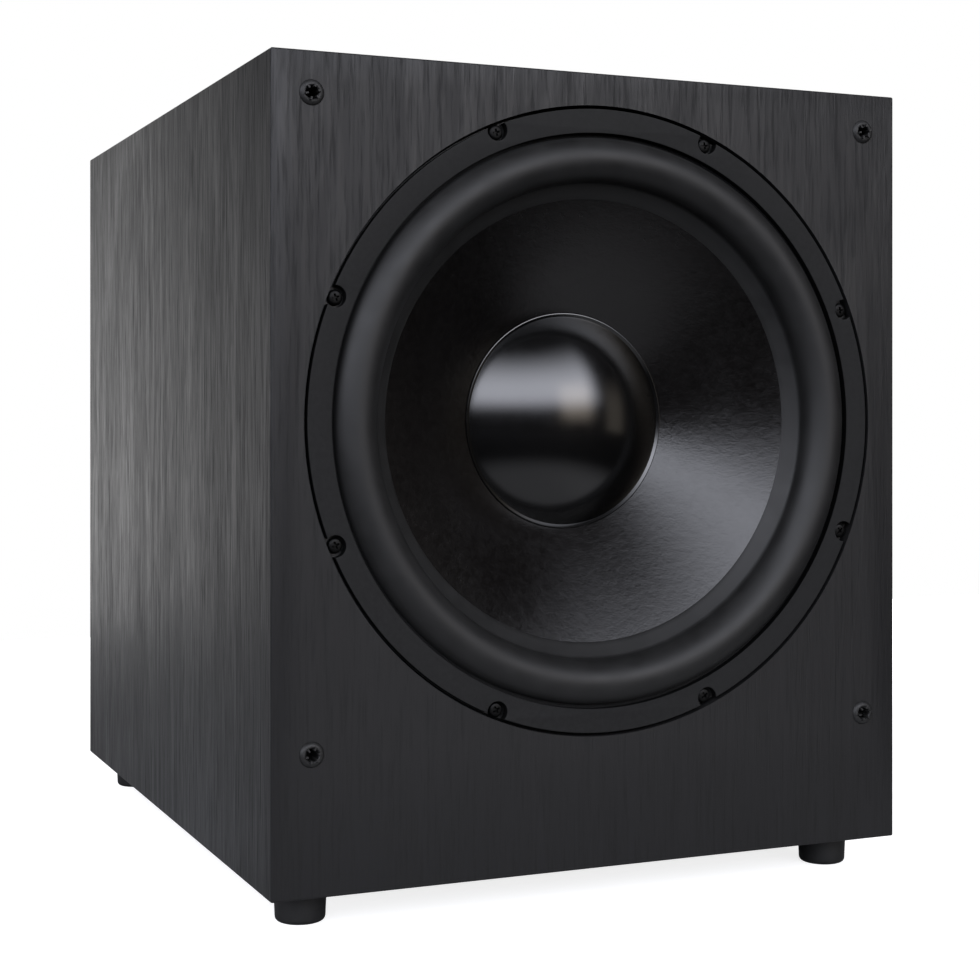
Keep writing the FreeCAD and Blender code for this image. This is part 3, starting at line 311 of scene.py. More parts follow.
def paint_gap_shade(m, how, lo, hi, base=0.0006, rough=0.95):
    """Paints shade into an existing material, near black and rough, on the walls of the gaps around the driver: by the
    face's own normal, or within a radius of the driver's axis.
    """
    nt = m.node_tree
    b = [n for n in nt.nodes if n.type == "BSDF_PRINCIPLED"][0]
    if how == "normal":
        g = add(nt, "ShaderNodeNewGeometry")
        sp = add(nt, "ShaderNodeSeparateXYZ")
        nt.links.new(g.outputs["True Normal"], sp.inputs[0])
        f = rng(nt, mth(nt, "ABSOLUTE", sp.outputs[1]), 1.0, 0.0, lo, hi)
    else:
        x, z, r = polar(nt)
        f = rng(nt, r, 1.0, 0.0, lo, hi)
    for sock, v in (("Base Color", grey(base)), ("Roughness", rough)):
        src = b.inputs[sock].links[0].from_socket
        nt.links.remove(b.inputs[sock].links[0])
        if sock == "Base Color":
            nt.links.new(mixc(nt, f, src, v), b.inputs[sock])
        else:
            nt.links.new(mth(nt, "ADD", mth(nt, "MULTIPLY", src, mth(nt, "SUBTRACT", 1.0, f)), mth(nt, "MULTIPLY", f, v)), b.inputs[sock])
    return m


M = {}
# Painted shade: inside 158.7 mm of the driver's axis, fading out by 158.86 mm, the baffle turns near black and rough,
# so the rebate around the driver reads as a shaded gap.
M["ash_front"] = paint_gap_shade(ash("black_ash_baffle", "z", depth=0.72), "radius", 0.15870, 0.15886)
M["ash_z"] = ash("black_ash_upright", "z")
M["ash_x"] = ash("black_ash_across", "x", seed=0.31)
M["cone"] = cone_mat()
M["surround"] = surround_mat()
M["dust_cap"] = make("lacquered_cap", grey(0.0006), 0.165, var=0.10, scale=160.0, fine=900.0, strength=0.030, dist=0.0002, spec=0.76, rvar=0.012, cloud=18.0)
# Painted shade: the gasket's side walls, whose normals lie across the axis, turn near black and rough, as the shaded
# gaps beside the ring.
M["gasket"] = paint_gap_shade(make("gasket_ring", grey(0.0125), 0.78, var=0.22, scale=420.0, fine=2600.0, strength=0.30, dist=0.00012, spec=0.09), "normal", 0.25, 0.7)
M["black_oxide"] = make("black_oxide", grey(0.0010), 0.45, metal=0.0, var=0.35, scale=900.0, fine=3500.0, strength=0.10, dist=0.00006, spec=0.14)
M["socket"] = make("moulded_socket", grey(0.009), 0.50, var=0.2, scale=700.0, fine=3000.0, strength=0.10, dist=0.00005, spec=0.32)
M["foot"] = make("foot_rubber", grey(0.0060), 0.58, var=0.3, scale=500.0, fine=2600.0, strength=0.22, dist=0.0001, spec=0.3)
M["foam"] = make("closed_cell_foam", grey(0.02), 0.85, var=0.4, scale=900.0, fine=2600.0, strength=0.8, dist=0.0003)
M["plastic"] = make("moulded_plastic", grey(0.016), 0.42, var=0.2, scale=600.0, fine=2600.0, strength=0.20, dist=0.00007)
M["port"] = make("port_plastic", grey(0.014), 0.46, var=0.2, scale=520.0, fine=1900.0, strength=0.32, dist=0.0001)
M["gloss_plastic"] = make("gloss_moulding", grey(0.010), 0.20, var=0.15, scale=500.0, fine=2200.0, strength=0.05, dist=0.00004)
M["powder"] = make("powder_coat", grey(0.020), 0.48, var=0.25, scale=1100.0, fine=2600.0, strength=0.55, dist=0.00010)
M["anodised"] = make("black_anodised", (0.016, 0.016, 0.018), 0.36, metal=0.7, var=0.22, scale=900.0, fine=2600.0, strength=0.16, dist=0.00006, stretch=(1, 1, 0.04))
M["zinc"] = make("zinc_plate", (0.62, 0.61, 0.57), 0.33, metal=1.0, var=0.12, scale=500.0, fine=2500.0, strength=0.12, dist=0.00006, tint=(0.70, 0.66, 0.52))
M["nickel"] = make("nickel_plate", (0.70, 0.68, 0.64), 0.20, metal=1.0, var=0.08, scale=500.0, fine=2500.0, strength=0.06, dist=0.00004)
M["gold"] = make("gold_plate", (0.83, 0.60, 0.24), 0.19, metal=1.0, var=0.08, scale=500.0, fine=2500.0, strength=0.06, dist=0.00004)
M["basket"] = make("basket_enamel", grey(0.006), 0.45, metal=0.0, var=0.25, scale=350.0, fine=1500.0, strength=0.22, dist=0.0001, spec=0.35)
M["spider"] = make("treated_cloth", (0.55, 0.42, 0.13), 0.8, var=0.35, scale=1300.0, fine=2600.0, strength=1.0, dist=0.0003)
M["aluminium"] = make("former_sheet", (0.75, 0.75, 0.76), 0.32, metal=1.0, var=0.08, scale=600.0, fine=2600.0, strength=0.1, dist=0.00005, stretch=(1, 0.05, 1))
M["copper"] = make("copper_winding", (0.70, 0.27, 0.11), 0.28, metal=1.0, var=0.25, scale=700.0, fine=2600.0, strength=0.6, dist=0.0002, stretch=(0.03, 1, 0.03))
M["ferrite"] = make("ferrite", grey(0.045), 0.62, var=0.3, scale=450.0, fine=1700.0, strength=0.5, dist=0.00025)
M["steel"] = make("plated_steel", (0.58, 0.57, 0.52), 0.34, metal=1.0, var=0.12, scale=350.0, fine=1700.0, strength=0.2, dist=0.0001, tint=(0.66, 0.62, 0.46))
M["fibre"] = make("phenolic_board", (0.30, 0.16, 0.07), 0.55, var=0.25, scale=700.0, fine=2400.0, strength=0.3, dist=0.0001, stretch=(0.2, 1, 1))
M["braid"] = make("tinned_braid", (0.74, 0.58, 0.42), 0.35, metal=1.0, var=0.3, scale=1800.0, fine=4200.0, strength=1.0, dist=0.0002)
M["pvc_red"] = make("pvc_insulation", (0.42, 0.012, 0.012), 0.38, var=0.15, scale=500.0, fine=2400.0, strength=0.1, dist=0.00006)
M["mdf"] = make("raw_mdf", (0.46, 0.33, 0.20), 0.85, var=0.18, scale=700.0, fine=2600.0, strength=0.5, dist=0.0002)
M["wadding"] = make("wadding", (0.80, 0.80, 0.78), 0.95, var=0.12, scale=380.0, fine=1300.0, strength=1.0, dist=0.001)
M["pcb"] = make("solder_mask", (0.012, 0.10, 0.035), 0.32, var=0.3, scale=260.0, fine=1500.0, strength=0.15, dist=0.00008)
M["cap_sleeve"] = make("capacitor_sleeve", (0.012, 0.014, 0.03), 0.28, var=0.2, scale=400.0, fine=2200.0, strength=0.06, dist=0.00005)
M["epoxy"] = make("epoxy_case", grey(0.02), 0.55, var=0.25, scale=900.0, fine=2600.0, strength=0.3, dist=0.0001)
M["tape"] = make("polyester_tape", (0.62, 0.44, 0.04), 0.25, var=0.2, scale=120.0, fine=1400.0, strength=0.35, dist=0.0003)
M["white_moulding"] = make("white_moulding", (0.80, 0.79, 0.76), 0.35, var=0.05, scale=500.0, fine=2600.0, strength=0.08, dist=0.00005)
M["red_moulding"] = make("red_moulding", (0.50, 0.012, 0.014), 0.24, var=0.12, scale=500.0, fine=2400.0, strength=0.06, dist=0.00005)
M["lamp"] = make("lamp_lens", (0.10, 0.55, 0.16), 0.25, var=0.15, scale=900.0, fine=2600.0, strength=0.1, dist=0.00005, emit=(0.1, 0.9, 0.25, 0.6))
M["fuse"] = make("fuse_glass", (0.82, 0.85, 0.84), 0.08, var=0.04, scale=600.0, fine=2400.0, strength=0.02, dist=0.00003, trans=0.85, ior=1.5)
M["print"] = make("white_print", (0.62, 0.62, 0.60), 0.55, var=0.12, scale=1500.0, fine=3500.0, strength=0.15, dist=0.00003)

SLOT_MAT = {
    "black_ash_vinyl": "ash_z", "bare_mdf": "mdf", "polyester_wadding": "wadding", "foot_rubber": "foot", "zinc_steel": "zinc",
    "black_steel": "black_oxide", "black_plastic": "plastic", "gloss_black_plastic": "gloss_plastic", "foam_seal": "foam",
    "gasket_board": "gasket", "surround_rubber": "surround", "cone_pulp": "cone", "dust_cap_gloss": "dust_cap", "spider_cloth": "spider",
    "former_aluminium": "aluminium", "copper_wire": "copper", "ferrite": "ferrite", "plated_steel": "steel", "tinned_copper": "braid",
    "fibre_board": "fibre", "amp_black": "powder", "anodised_black": "anodised", "circuit_green": "pcb", "capacitor_sleeve": "cap_sleeve",
    "transistor_epoxy": "epoxy", "transformer_tape": "tape", "insulator_white": "white_moulding", "nickel_plate": "nickel",
    "gold_plate": "gold", "red_plastic": "red_moulding", "lamp_lens": "lamp", "wire_insulation": "pvc_red", "fuse_glass": "fuse",
}
NODE_MAT = {"top_panel": "ash_x", "bottom_panel": "ash_x", "driver_basket": "basket", "reflex_port_tube": "port", "grille_sockets": "socket"}
SLOT_OF = {s["node"]: s["material_slot"] for s in frame["record"]["subparts"]}


def dress(obj, mat):
    while len(obj.data.materials) > 0:
        obj.data.materials.pop(index=0)
    obj.data.materials.append(mat)


for n, o in NODES.items():
    mat = M[NODE_MAT.get(n, SLOT_MAT[SLOT_OF[n]])]
    if o.material_slots:
        for s in o.material_slots:
            s.material = mat
    else:
        o.data.materials.append(mat)


# ------------------------------------------------------------------ mesh helpers
def obj_from(name, verts, faces):
    me = bpy.data.meshes.new(name)
    me.from_pydata([tuple(v) for v in verts], [], faces)
    me.validate()
    me.update()
    o = bpy.data.objects.new(name, me)
    bpy.context.scene.collection.objects.link(o)
    return o


def smooth(o, deg=32.0):
    me = o.data
    me.shade_smooth()
    me.set_sharp_from_angle(angle=math.radians(deg))


def arc(cx, cy, r, a0, a1, n):
    """Points of an arc, degrees, from a0 to a1."""
    return [(cx + r * math.cos(math.radians(a0 + (a1 - a0) * i / n)), cy + r * math.sin(math.radians(a0 + (a1 - a0) * i / n))) for i in range(n + 1)]


def lathe_data(profile, seg, x=0.0, z=ZC, y0=None, axis="y"):
    """Closed profile of (radius mm, depth mm) turned about an axis along Y (or Z). Returns verts, faces."""
    y0 = YF if y0 is None else y0
    pts = []
    for p in profile:
        if not pts or (abs(p[0] - pts[-1][0]) + abs(p[1] - pts[-1][1])) > 1e-6:
            pts.append(p)
    if abs(pts[0][0] - pts[-1][0]) + abs(pts[0][1] - pts[-1][1]) < 1e-6:
        pts.pop()
    verts, idx = [], []
    for r, d in pts:
        if r < 1e-6:
            verts.append((x, y0 + d * MM, z) if axis == "y" else (x, z, d * MM))
            idx.append([len(verts) - 1] * seg)
        else:
            row = []
            for s in range(seg):
                a = 2 * math.pi * s / seg
                c, q = r * MM * math.cos(a), r * MM * math.sin(a)
                verts.append((x + c, y0 + d * MM, z + q) if axis == "y" else (x + c, z + q, d * MM))
                row.append(len(verts) - 1)
            idx.append(row)
    faces = []
    n = len(pts)
    for i in range(n):
        a, b = idx[i], idx[(i + 1) % n]
        pole_a, pole_b = pts[i][0] < 1e-6, pts[(i + 1) % n][0] < 1e-6
        if pole_a and pole_b:
            continue
        for s in range(seg):
            t = (s + 1) % seg
            if pole_a:
                faces.append((a[0], b[t], b[s]))
            elif pole_b:
                faces.append((a[s], a[t], b[0]))
            else:
                faces.append((a[s], a[t], b[t], b[s]))
    return verts, faces


def fix_normals(o):
    bm = bmesh.new()
    bm.from_mesh(o.data)
    bmesh.ops.recalc_face_normals(bm, faces=bm.faces)
    bm.to_mesh(o.data)
    bm.free()


def lathe(name, profile, seg, mat, x=0.0, z=ZC, y0=None, axis="y", sharp=32.0):
    v, f = lathe_data(profile, seg, x, z, y0, axis)
    o = obj_from(name, v, f)
    fix_normals(o)
    smooth(o, sharp)
    o.data.materials.append(mat)
    return o


def join(objs, name):
    """Joins meshes into one object by copying their geometry."""
    verts, faces, sharp_src = [], [], []
    for o in objs:
        base = len(verts)
        mw = o.matrix_world
        verts += [tuple(mw @ v.co) for v in o.data.vertices]
        faces += [tuple(base + i for i in p.vertices) for p in o.data.polygons]
    out = obj_from(name, verts, faces)
    for o in objs:
        me = o.data
        bpy.data.objects.remove(o, do_unlink=True)
        if me.users == 0:
            bpy.data.meshes.remove(me)
    return out


def boolean(o, tools, op="DIFFERENCE"):
    """Applies exact booleans, one tool at a time, and removes the tools."""
    for t in tools:
        md = o.modifiers.new("b", "BOOLEAN")
        md.operation = op
        md.solver = "EXACT"
        md.object = t
        dg = bpy.context.evaluated_depsgraph_get()
        me = bpy.data.meshes.new_from_object(o.evaluated_get(dg))
        old = o.data
        o.modifiers.clear()
        o.data = me
        bpy.data.meshes.remove(old)
        tm = t.data
        bpy.data.objects.remove(t, do_unlink=True)
        if tm.users == 0:
            bpy.data.meshes.remove(tm)
    return o


def box_obj(name, x0, x1, y0, y1, z0, z1):
    v = [(x, y, z) for x in (x0, x1) for y in (y0, y1) for z in (z0, z1)]
    f = [(0, 1, 3, 2), (4, 6, 7, 5), (0, 4, 5, 1), (2, 3, 7, 6), (0, 2, 6, 4), (1, 5, 7, 3)]
    return obj_from(name, v, f)


def cyl_obj(name, r, y0, y1, x, z, seg=64):
    """Cylinder along Y, radius and ends in metres."""
    return_v, return_f = [], []
    for s in range(seg):
        a = 2 * math.pi * s / seg
        return_v += [(x + r * math.cos(a), y0, z + r * math.sin(a)), (x + r * math.cos(a), y1, z + r * math.sin(a))]
    for s in range(seg):
        t = (s + 1) % seg
        return_f.append((2 * s, 2 * s + 1, 2 * t + 1, 2 * t))
    return_f.append(tuple(2 * s for s in range(seg)))
    return_f.append(tuple(2 * s + 1 for s in reversed(range(seg))))
    o = obj_from(name, return_v, return_f)
    fix_normals(o)
    return o


def place(o, body, slot, *nodes):
    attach(o, body)
    if nodes:
        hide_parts(*nodes)
    return o


SEG = 288

# ------------------------------------------------------------------ camera, lights, floor
cam_data = bpy.data.cameras.new("camera")
cam_data.sensor_width = 36.0
cam_data.lens = 67.56
cam_data.shift_x = 0.01224
cam_data.shift_y = -0.0792
cam_data.clip_start = 0.05
cam_data.clip_end = 60.0
cam = bpy.data.objects.new("camera", cam_data)
bpy.context.scene.collection.objects.link(cam)
cam.location = (-0.4249, YF - 0.8266, 0.2473)
cam.rotation_euler = (math.radians(90.0), 0.0, math.radians(-23.25))
bpy.context.scene.camera = cam


def area(name, loc, aim, sx, sy, power, color=(1, 1, 1)):
    d = bpy.data.lights.new(name, "AREA")
    d.shape = "RECTANGLE"
    d.size, d.size_y = sx, sy
    d.energy = power
    d.color = color
    o = bpy.data.objects.new(name, d)
    bpy.context.scene.collection.objects.link(o)
    o.location = loc
    o.rotation_euler = (Vector(aim) - Vector(loc)).to_track_quat("-Z", "Y").to_euler()
    o.visible_camera = False
    return o


area("rear_softbox", (1.3, 2.0, 1.35), (0.0, YB, 0.2), 1.3, 1.0, 34.0)
area("top_strip", (-0.05, YF - 0.42, 1.05), (0.0, YF, 0.36), 0.9, 0.25, 5.3).visible_glossy = False

# A studio seen only by the object: one wide bank above the camera, a paler wall behind, dim elsewhere.
w = bpy.data.worlds.new("studio")
bpy.context.scene.world = w
w.use_nodes = True
wn = w.node_tree
wn.nodes.clear()
wtc = add(wn, "ShaderNodeTexCoord")
wsep = add(wn, "ShaderNodeSeparateXYZ")
wn.links.new(wtc.outputs["Generated"], wsep.inputs[0])
w_el = mth(wn, "DEGREES", mth(wn, "ARCSINE", wsep.outputs[2]))
w_az = mth(wn, "DEGREES", mth(wn, "ARCTAN2", wsep.outputs[0], mth(wn, "MULTIPLY", wsep.outputs[1], -1.0)))


def step(v, a, b):
    m = add(wn, "ShaderNodeMapRange", interpolation_type="SMOOTHSTEP")
    wn.links.new(v, m.inputs["Value"])
    m.inputs["From Min"].default_value = min(a, b)
    m.inputs["From Max"].default_value = max(a, b)
    m.inputs["To Min"].default_value = 0.0 if a < b else 1.0
    m.inputs["To Max"].default_value = 1.0 if a < b else 0.0
    return m.outputs[0]


def patch(az0, az1, el0, el1, color):
    """A soft-edged bright patch: each pair is (outer, inner) of its edge, in degrees."""
    p = mth(wn, "MULTIPLY", step(w_az, az0[0], az0[1]), step(w_az, az1[0], az1[1])) if az0 else 1.0
    e = mth(wn, "MULTIPLY", step(w_el, el0[0], el0[1]), step(w_el, el1[0], el1[1]))
    f = mth(wn, "MULTIPLY", p, e)
    v = add(wn, "ShaderNodeVectorMath", operation="SCALE")
    v.inputs[0].default_value = color
    wn.links.new(f, v.inputs["Scale"])
    return v.outputs[0]


def vadd(a, b):
    v = add(wn, "ShaderNodeVectorMath", operation="ADD")
    wn.links.new(a, v.inputs[0])
    if hasattr(b, "is_output"):
        wn.links.new(b, v.inputs[1])
    else:
        v.inputs[1].default_value = b
    return v.outputs[0]


w_abs = mth(wn, "ABSOLUTE", w_az)
back_f = mth(wn, "MULTIPLY", step(w_abs, 125.0, 168.0), mth(wn, "MULTIPLY", step(w_el, -32.0, -12.0), step(w_el, 28.0, -6.0)))
back_v = add(wn, "ShaderNodeVectorMath", operation="SCALE")
back_v.inputs[0].default_value = (1.70, 1.69, 1.69)
wn.links.new(back_f, back_v.inputs["Scale"])
total = vadd(patch((-112, -90), (49, 31), (4, 18), (53, 22), (5.1, 5.25, 5.85)), patch((6, 18), (42, 29), (-5, 10), (29, 16), (2.4, 2.1, 1.75)))
total = vadd(total, back_v.outputs[0])
total = vadd(total, patch((44, 52), (68, 58), (-16, -4), (26, 8), (0.45, 0.40, 0.34)))
total = vadd(total, (0.036, 0.034, 0.036))
bg = wn.nodes.new("ShaderNodeBackground")
bg2 = wn.nodes.new("ShaderNodeBackground")
wmix = wn.nodes.new("ShaderNodeMixShader")
lp = wn.nodes.new("ShaderNodeLightPath")
wo = wn.nodes.new("ShaderNodeOutputWorld")
wn.links.new(total, bg.inputs["Color"])
bg2.inputs["Color"].default_value = (1.0, 1.0, 1.0, 1.0)
wn.links.new(lp.outputs["Is Camera Ray"], wmix.inputs[0])
wn.links.new(bg.outputs[0], wmix.inputs[1])
wn.links.new(bg2.outputs[0], wmix.inputs[2])
wn.links.new(wmix.outputs[0], wo.inputs[0])
bpy.context.scene.view_settings.view_transform = "Standard"

# Pale floor: near white to the eye with a soft shadow, and darker away from the object where it only shows in reflections
floor = obj_from("floor", [(-1.7, -1.7, 0), (1.7, -1.7, 0), (1.7, 0.98, 0), (-1.7, 0.98, 0)], [(0, 1, 2, 3)])
fm, fnt, fb = nodes_of("pale_floor")
fb.inputs["Roughness"].default_value = 0.95
fb.inputs["Specular IOR Level"].default_value = 0.1
ftc = add(fnt, "ShaderNodeTexCoord")


def from_point(px, py, a, b, lo, hi):
    vm = add(fnt, "ShaderNodeVectorMath", operation="DISTANCE")
    fnt.links.new(ftc.outputs["Object"], vm.inputs[0])
    vm.inputs[1].default_value = (px, py, 0.0)
    m = add(fnt, "ShaderNodeMapRange", interpolation_type="SMOOTHSTEP")
    fnt.links.new(vm.outputs["Value"], m.inputs["Value"])
    for k, v in (("From Min", a), ("From Max", b), ("To Min", lo), ("To Max", hi)):
        m.inputs[k].default_value = v
    return m.outputs[0]


dark = mth(fnt, "ADD", from_point(0.0, YF, 0.24, 0.48, 0.34, 0.01), from_point(-0.55, 0.75, 0.25, 0.95, 0.34, 0.0))
dark = mth(fnt, "ADD", dark, from_point(-0.36, 0.08, 0.08, 0.40, 0.34, 0.0))
pale = add(fnt, "ShaderNodeMix", data_type="RGBA")
flp = add(fnt, "ShaderNodeLightPath")
fnt.links.new(flp.outputs["Is Camera Ray"], pale.inputs[0])
fnt.links.new(dark, pale.inputs[6])
pale.inputs[7].default_value = (0.55, 0.55, 0.55, 1.0)
fnt.links.new(pale.outputs[2], fb.inputs["Base Color"])
fb.inputs["Emission Color"].default_value = (1.0, 1.0, 1.0, 1.0)
glow = mth(fnt, "MULTIPLY", from_point(0.0, 0.0, 0.36, 0.85, 0.80, 1.0), flp.outputs["Is Camera Ray"])
fnt.links.new(glow, fb.inputs["Emission Strength"])
floor.data.materials.append(fm)


# ------------------------------------------------------------------ cabinet panels
def rounded_box(name, r=0.0009, seg=4):
    o = box_obj(name, -HX, HX, YF, YB, Z0, Z1)
    bm = bmesh.new()
    bm.from_mesh(o.data)
    bmesh.ops.recalc_face_normals(bm, faces=bm.faces)
    bmesh.ops.bevel(bm, geom=list(bm.edges), offset=r, offset_type="OFFSET", segments=seg, profile=0.5, affect="EDGES", clamp_overlap=True)
    bm.to_mesh(o.data)
    bm.free()
    return o


WALL, BAF = 0.015, 0.022
IX, IZ0, IZ1, IY0, IY1 = HX - WALL, Z0 + WALL, Z1 - WALL, YF + BAF, YB - WALL


def frustum(name, side):
    """A mitred panel's space, standing slightly proud outside so that only its mitre planes cut."""
    t = 0.01
    ux, uz = 1.0, 1.0

    def pt(x, y, z):
        return Vector((x, y, z))
    o_ = [pt(x, y, z) for x in (-HX, HX) for y in (YF, YB) for z in (Z0, Z1)]
    i_ = [pt(x, y, z) for x in (-IX, IX) for y in (IY0, IY1) for z in (IZ0, IZ1)]
    pick = {"left": (0, 1, 3, 2), "right": (4, 5, 7, 6), "front": (0, 4, 5, 1), "back": (2, 6, 7, 3), "bottom": (0, 2, 6, 4), "top": (1, 3, 7, 5)}[side]
    outer = [o_[k] + (o_[k] - i_[k]) * t / 0.015 for k in pick]
    inner = [i_[k] for k in pick]
    o = obj_from(name, outer + inner, [(0, 1, 2, 3), (7, 6, 5, 4), (0, 4, 5, 1), (1, 5, 6, 2), (2, 6, 7, 3), (3, 7, 4, 0)])
    fix_normals(o)
    return o


def rounded_rect_prism(name, x0, x1, y0, y1, z0, z1, r, seg=10):
    v = []
    for cx, cz, a0 in ((x1 - r, z1 - r, 0), (x0 + r, z1 - r, 90), (x0 + r, z0 + r, 180), (x1 - r, z0 + r, 270)):
        for k in range(seg + 1):
            a = math.radians(a0 + 90.0 * k / seg)
            v.append((cx + r * math.cos(a), cz + r * math.sin(a)))
    n = len(v)
    verts = [(a, y0, b) for a, b in v] + [(a, y1, b) for a, b in v]
    faces = [tuple(range(n)), tuple(reversed(range(n, 2 * n)))] + [(i, n + i, n + (i + 1) % n, (i + 1) % n) for i in range(n)]
    o = obj_from(name, verts, faces)
    fix_normals(o)
    return o


def panel(side, node, mat, tools=()):
    o = rounded_box(node + "_wrap")
    boolean(o, [frustum("t", side)], "INTERSECT")
    if tools:
        boolean(o, list(tools))
    smooth(o, 40.0)
    dress(o, mat)
    place(o, "cabinet", "black_ash_vinyl", node)
    return o


SOCK = [(sx * 0.155, z) for sx in (-1, 1) for z in (0.398, 0.086)]
SCREW_R = 154.0
SCREW_A = [22.5 + 45 * k for k in range(8)]


def pol(r, deg):
    return r * MM * math.cos(math.radians(deg)), ZC + r * MM * math.sin(math.radians(deg))


PLATE_CZ = 0.166
panel("left", "left_side_panel", M["ash_z"])
panel("right", "right_side_panel", M["ash_z"])
panel("top", "top_panel", M["ash_x"])
panel("bottom", "bottom_panel", M["ash_x"])
front_tools = [cyl_obj("t", 0.1588, YF - 0.01, YF + 0.008, 0, ZC, SEG), cyl_obj("t", 0.1434, YF - 0.01, YF + 0.04, 0, ZC, SEG)]
front_tools += [cyl_obj("t", 0.00465, YF - 0.01, YF + 0.0145, x, z, 48) for x, z in SOCK]
panel("front", "front_baffle", M["ash_front"], front_tools)
back_tools = [cyl_obj("t", 0.0380, YB - 0.04, YB + 0.01, 0, 0.351, 160),
              rounded_rect_prism("t", -0.111, 0.111, YB - 0.04, YB + 0.01, PLATE_CZ - 0.106, PLATE_CZ + 0.106, 0.008)]
panel("back", "back_panel", M["ash_z"], back_tools)


# ------------------------------------------------------------------ feet and grille sockets
feet = []
for sx in (-1, 1):
    for y in (YF + 0.032, YB - 0.032):
        prof = [(5.0, 8.0), (5.0, 1.0)] + arc(6.0, 1.0, 1.0, 180, 270, 4) + [(9.9, 0.0)] + arc(9.9, 2.5, 2.5, -90, -3, 10) + [(12.55, 6.0), (13.05, 17.2)]
        prof += arc(12.45, 17.4, 0.6, 0, 90, 4) + [(2.2, 18.0), (2.2, 8.0)]
        feet.append(lathe("f", prof, 96, M["foot"], sx * 0.1505, y, axis="z"))
feet = join(feet, "rubber_feet_moulded")
fix_normals(feet)
smooth(feet, 38.0)
dress(feet, M["foot"])
place(feet, "cabinet", "foot_rubber", "rubber_feet")

socks = []
for x, z in SOCK:
    prof = [(0.0, 12.0), (3.2, 12.0), (3.2, -0.6)] + arc(3.75, -0.75, 0.55, 180, 262, 4)
    prof += arc(3.9, 1.0, 2.42, -92, -20, 12) + [(6.2, 0.0), (4.6, 0.0), (4.6, 14.0), (0.0, 14.0)]
    so = lathe("s", prof, 72, M["socket"], x, z)
    slots = []
    for k in range(6):
        bo = box_obj("t", -0.00042, 0.00042, -0.003, 0.0115, 0.0025, 0.0040)
        bo.data.transform(Matrix.Translation((x, YF, z)) @ Matrix.Rotation(math.radians(60.0 * k + 17.0), 4, "Y"))
        fix_normals(bo)
        slots.append(bo)
    boolean(so, slots)
    socks.append(so)
socks = join(socks, "grille_sockets_moulded")
fix_normals(socks)
smooth(socks, 38.0)
dress(socks, M["socket"])
place(socks, "cabinet", "black_plastic", "grille_sockets")


# ------------------------------------------------------------------ driver: gasket ring with screw notches
def gasket_outline():
    rn, rc, ro = 5.3, 154.9, 157.1
    c = (ro * ro + rc * rc - rn * rn) / (2 * ro * rc)
    half = math.degrees(math.acos(c))
    # angle of the meeting point seen from the notch centre
    px, pz = ro * math.cos(math.radians(half)) - rc, ro * math.sin(math.radians(half))
    phi = math.degrees(math.atan2(pz, px))
    pts = []
    for k in range(8):
        a = 22.5 + 45 * k
        a0, a1 = a + half, a + 45 - half
        n = 34
        # the notch: from its meeting point at -phi the long way round to +phi
        m = 22
        ca, sa = math.cos(math.radians(a)), math.sin(math.radians(a))
        for i in range(m + 1):
            t = math.radians(-phi - (360 - 2 * phi) * i / m)
            lx, lz = rc + rn * math.cos(t), rn * math.sin(t)
            pts.append((lx * ca - lz * sa, lx * sa + lz * ca))
        for i in range(1, n):
            t = math.radians(a0 + (a1 - a0) * i / n)
            pts.append((ro * math.cos(t), ro * math.sin(t)))
    return pts


def plate_from(name, outlines, y_front, y_back, bev, mat, x=0.0, z=0.0, res=3):
    """A plate with bevelled edges from closed outlines in mm, front towards -Y."""
    cu = bpy.data.curves.new(name, "CURVE")
    cu.dimensions = "2D"
    cu.fill_mode = "BOTH"
    for pts in outlines:
        sp = cu.splines.new("POLY")
        sp.points.add(len(pts) - 1)
        for p, (a, b) in zip(sp.points, pts):
            p.co = (a * MM, b * MM, 0.0, 1.0)
        sp.use_cyclic_u = True
    t = y_back - y_front
    cu.extrude = t / 2 - bev
    cu.bevel_depth = bev
    cu.bevel_resolution = res
    cu.offset = -bev
    tmp = bpy.data.objects.new(name + "_c", cu)
    bpy.context.scene.collection.objects.link(tmp)
    bpy.context.view_layer.update()
    me = bpy.data.meshes.new_from_object(tmp.evaluated_get(bpy.context.evaluated_depsgraph_get()))
    bpy.data.objects.remove(tmp, do_unlink=True)
    bpy.data.curves.remove(cu)
    me.transform(Matrix.Translation((x, (y_front + y_back) / 2, z)) @ Matrix.Rotation(math.radians(90), 4, "X"))
    o = bpy.data.objects.new(name, me)
    bpy.context.scene.collection.objects.link(o)
    bm = bmesh.new()
    bm.from_mesh(me)
    bmesh.ops.remove_doubles(bm, verts=bm.verts, dist=1e-6)
    bmesh.ops.recalc_face_normals(bm, faces=bm.faces)
    bm.to_mesh(me)
    bm.free()
    smooth(o, 35.0)
    dress(o, mat)
    return o


inner = [(144.9 * math.cos(2 * math.pi * i / SEG), 144.9 * math.sin(2 * math.pi * i / SEG)) for i in range(SEG)]
gasket = plate_from("gasket_ring_cut", [gasket_outline(), inner], YF, YF + 0.0048, 0.00045, M["gasket"], 0, ZC, 3)
place(gasket, "cabinet", "gasket_board", "driver_gasket")


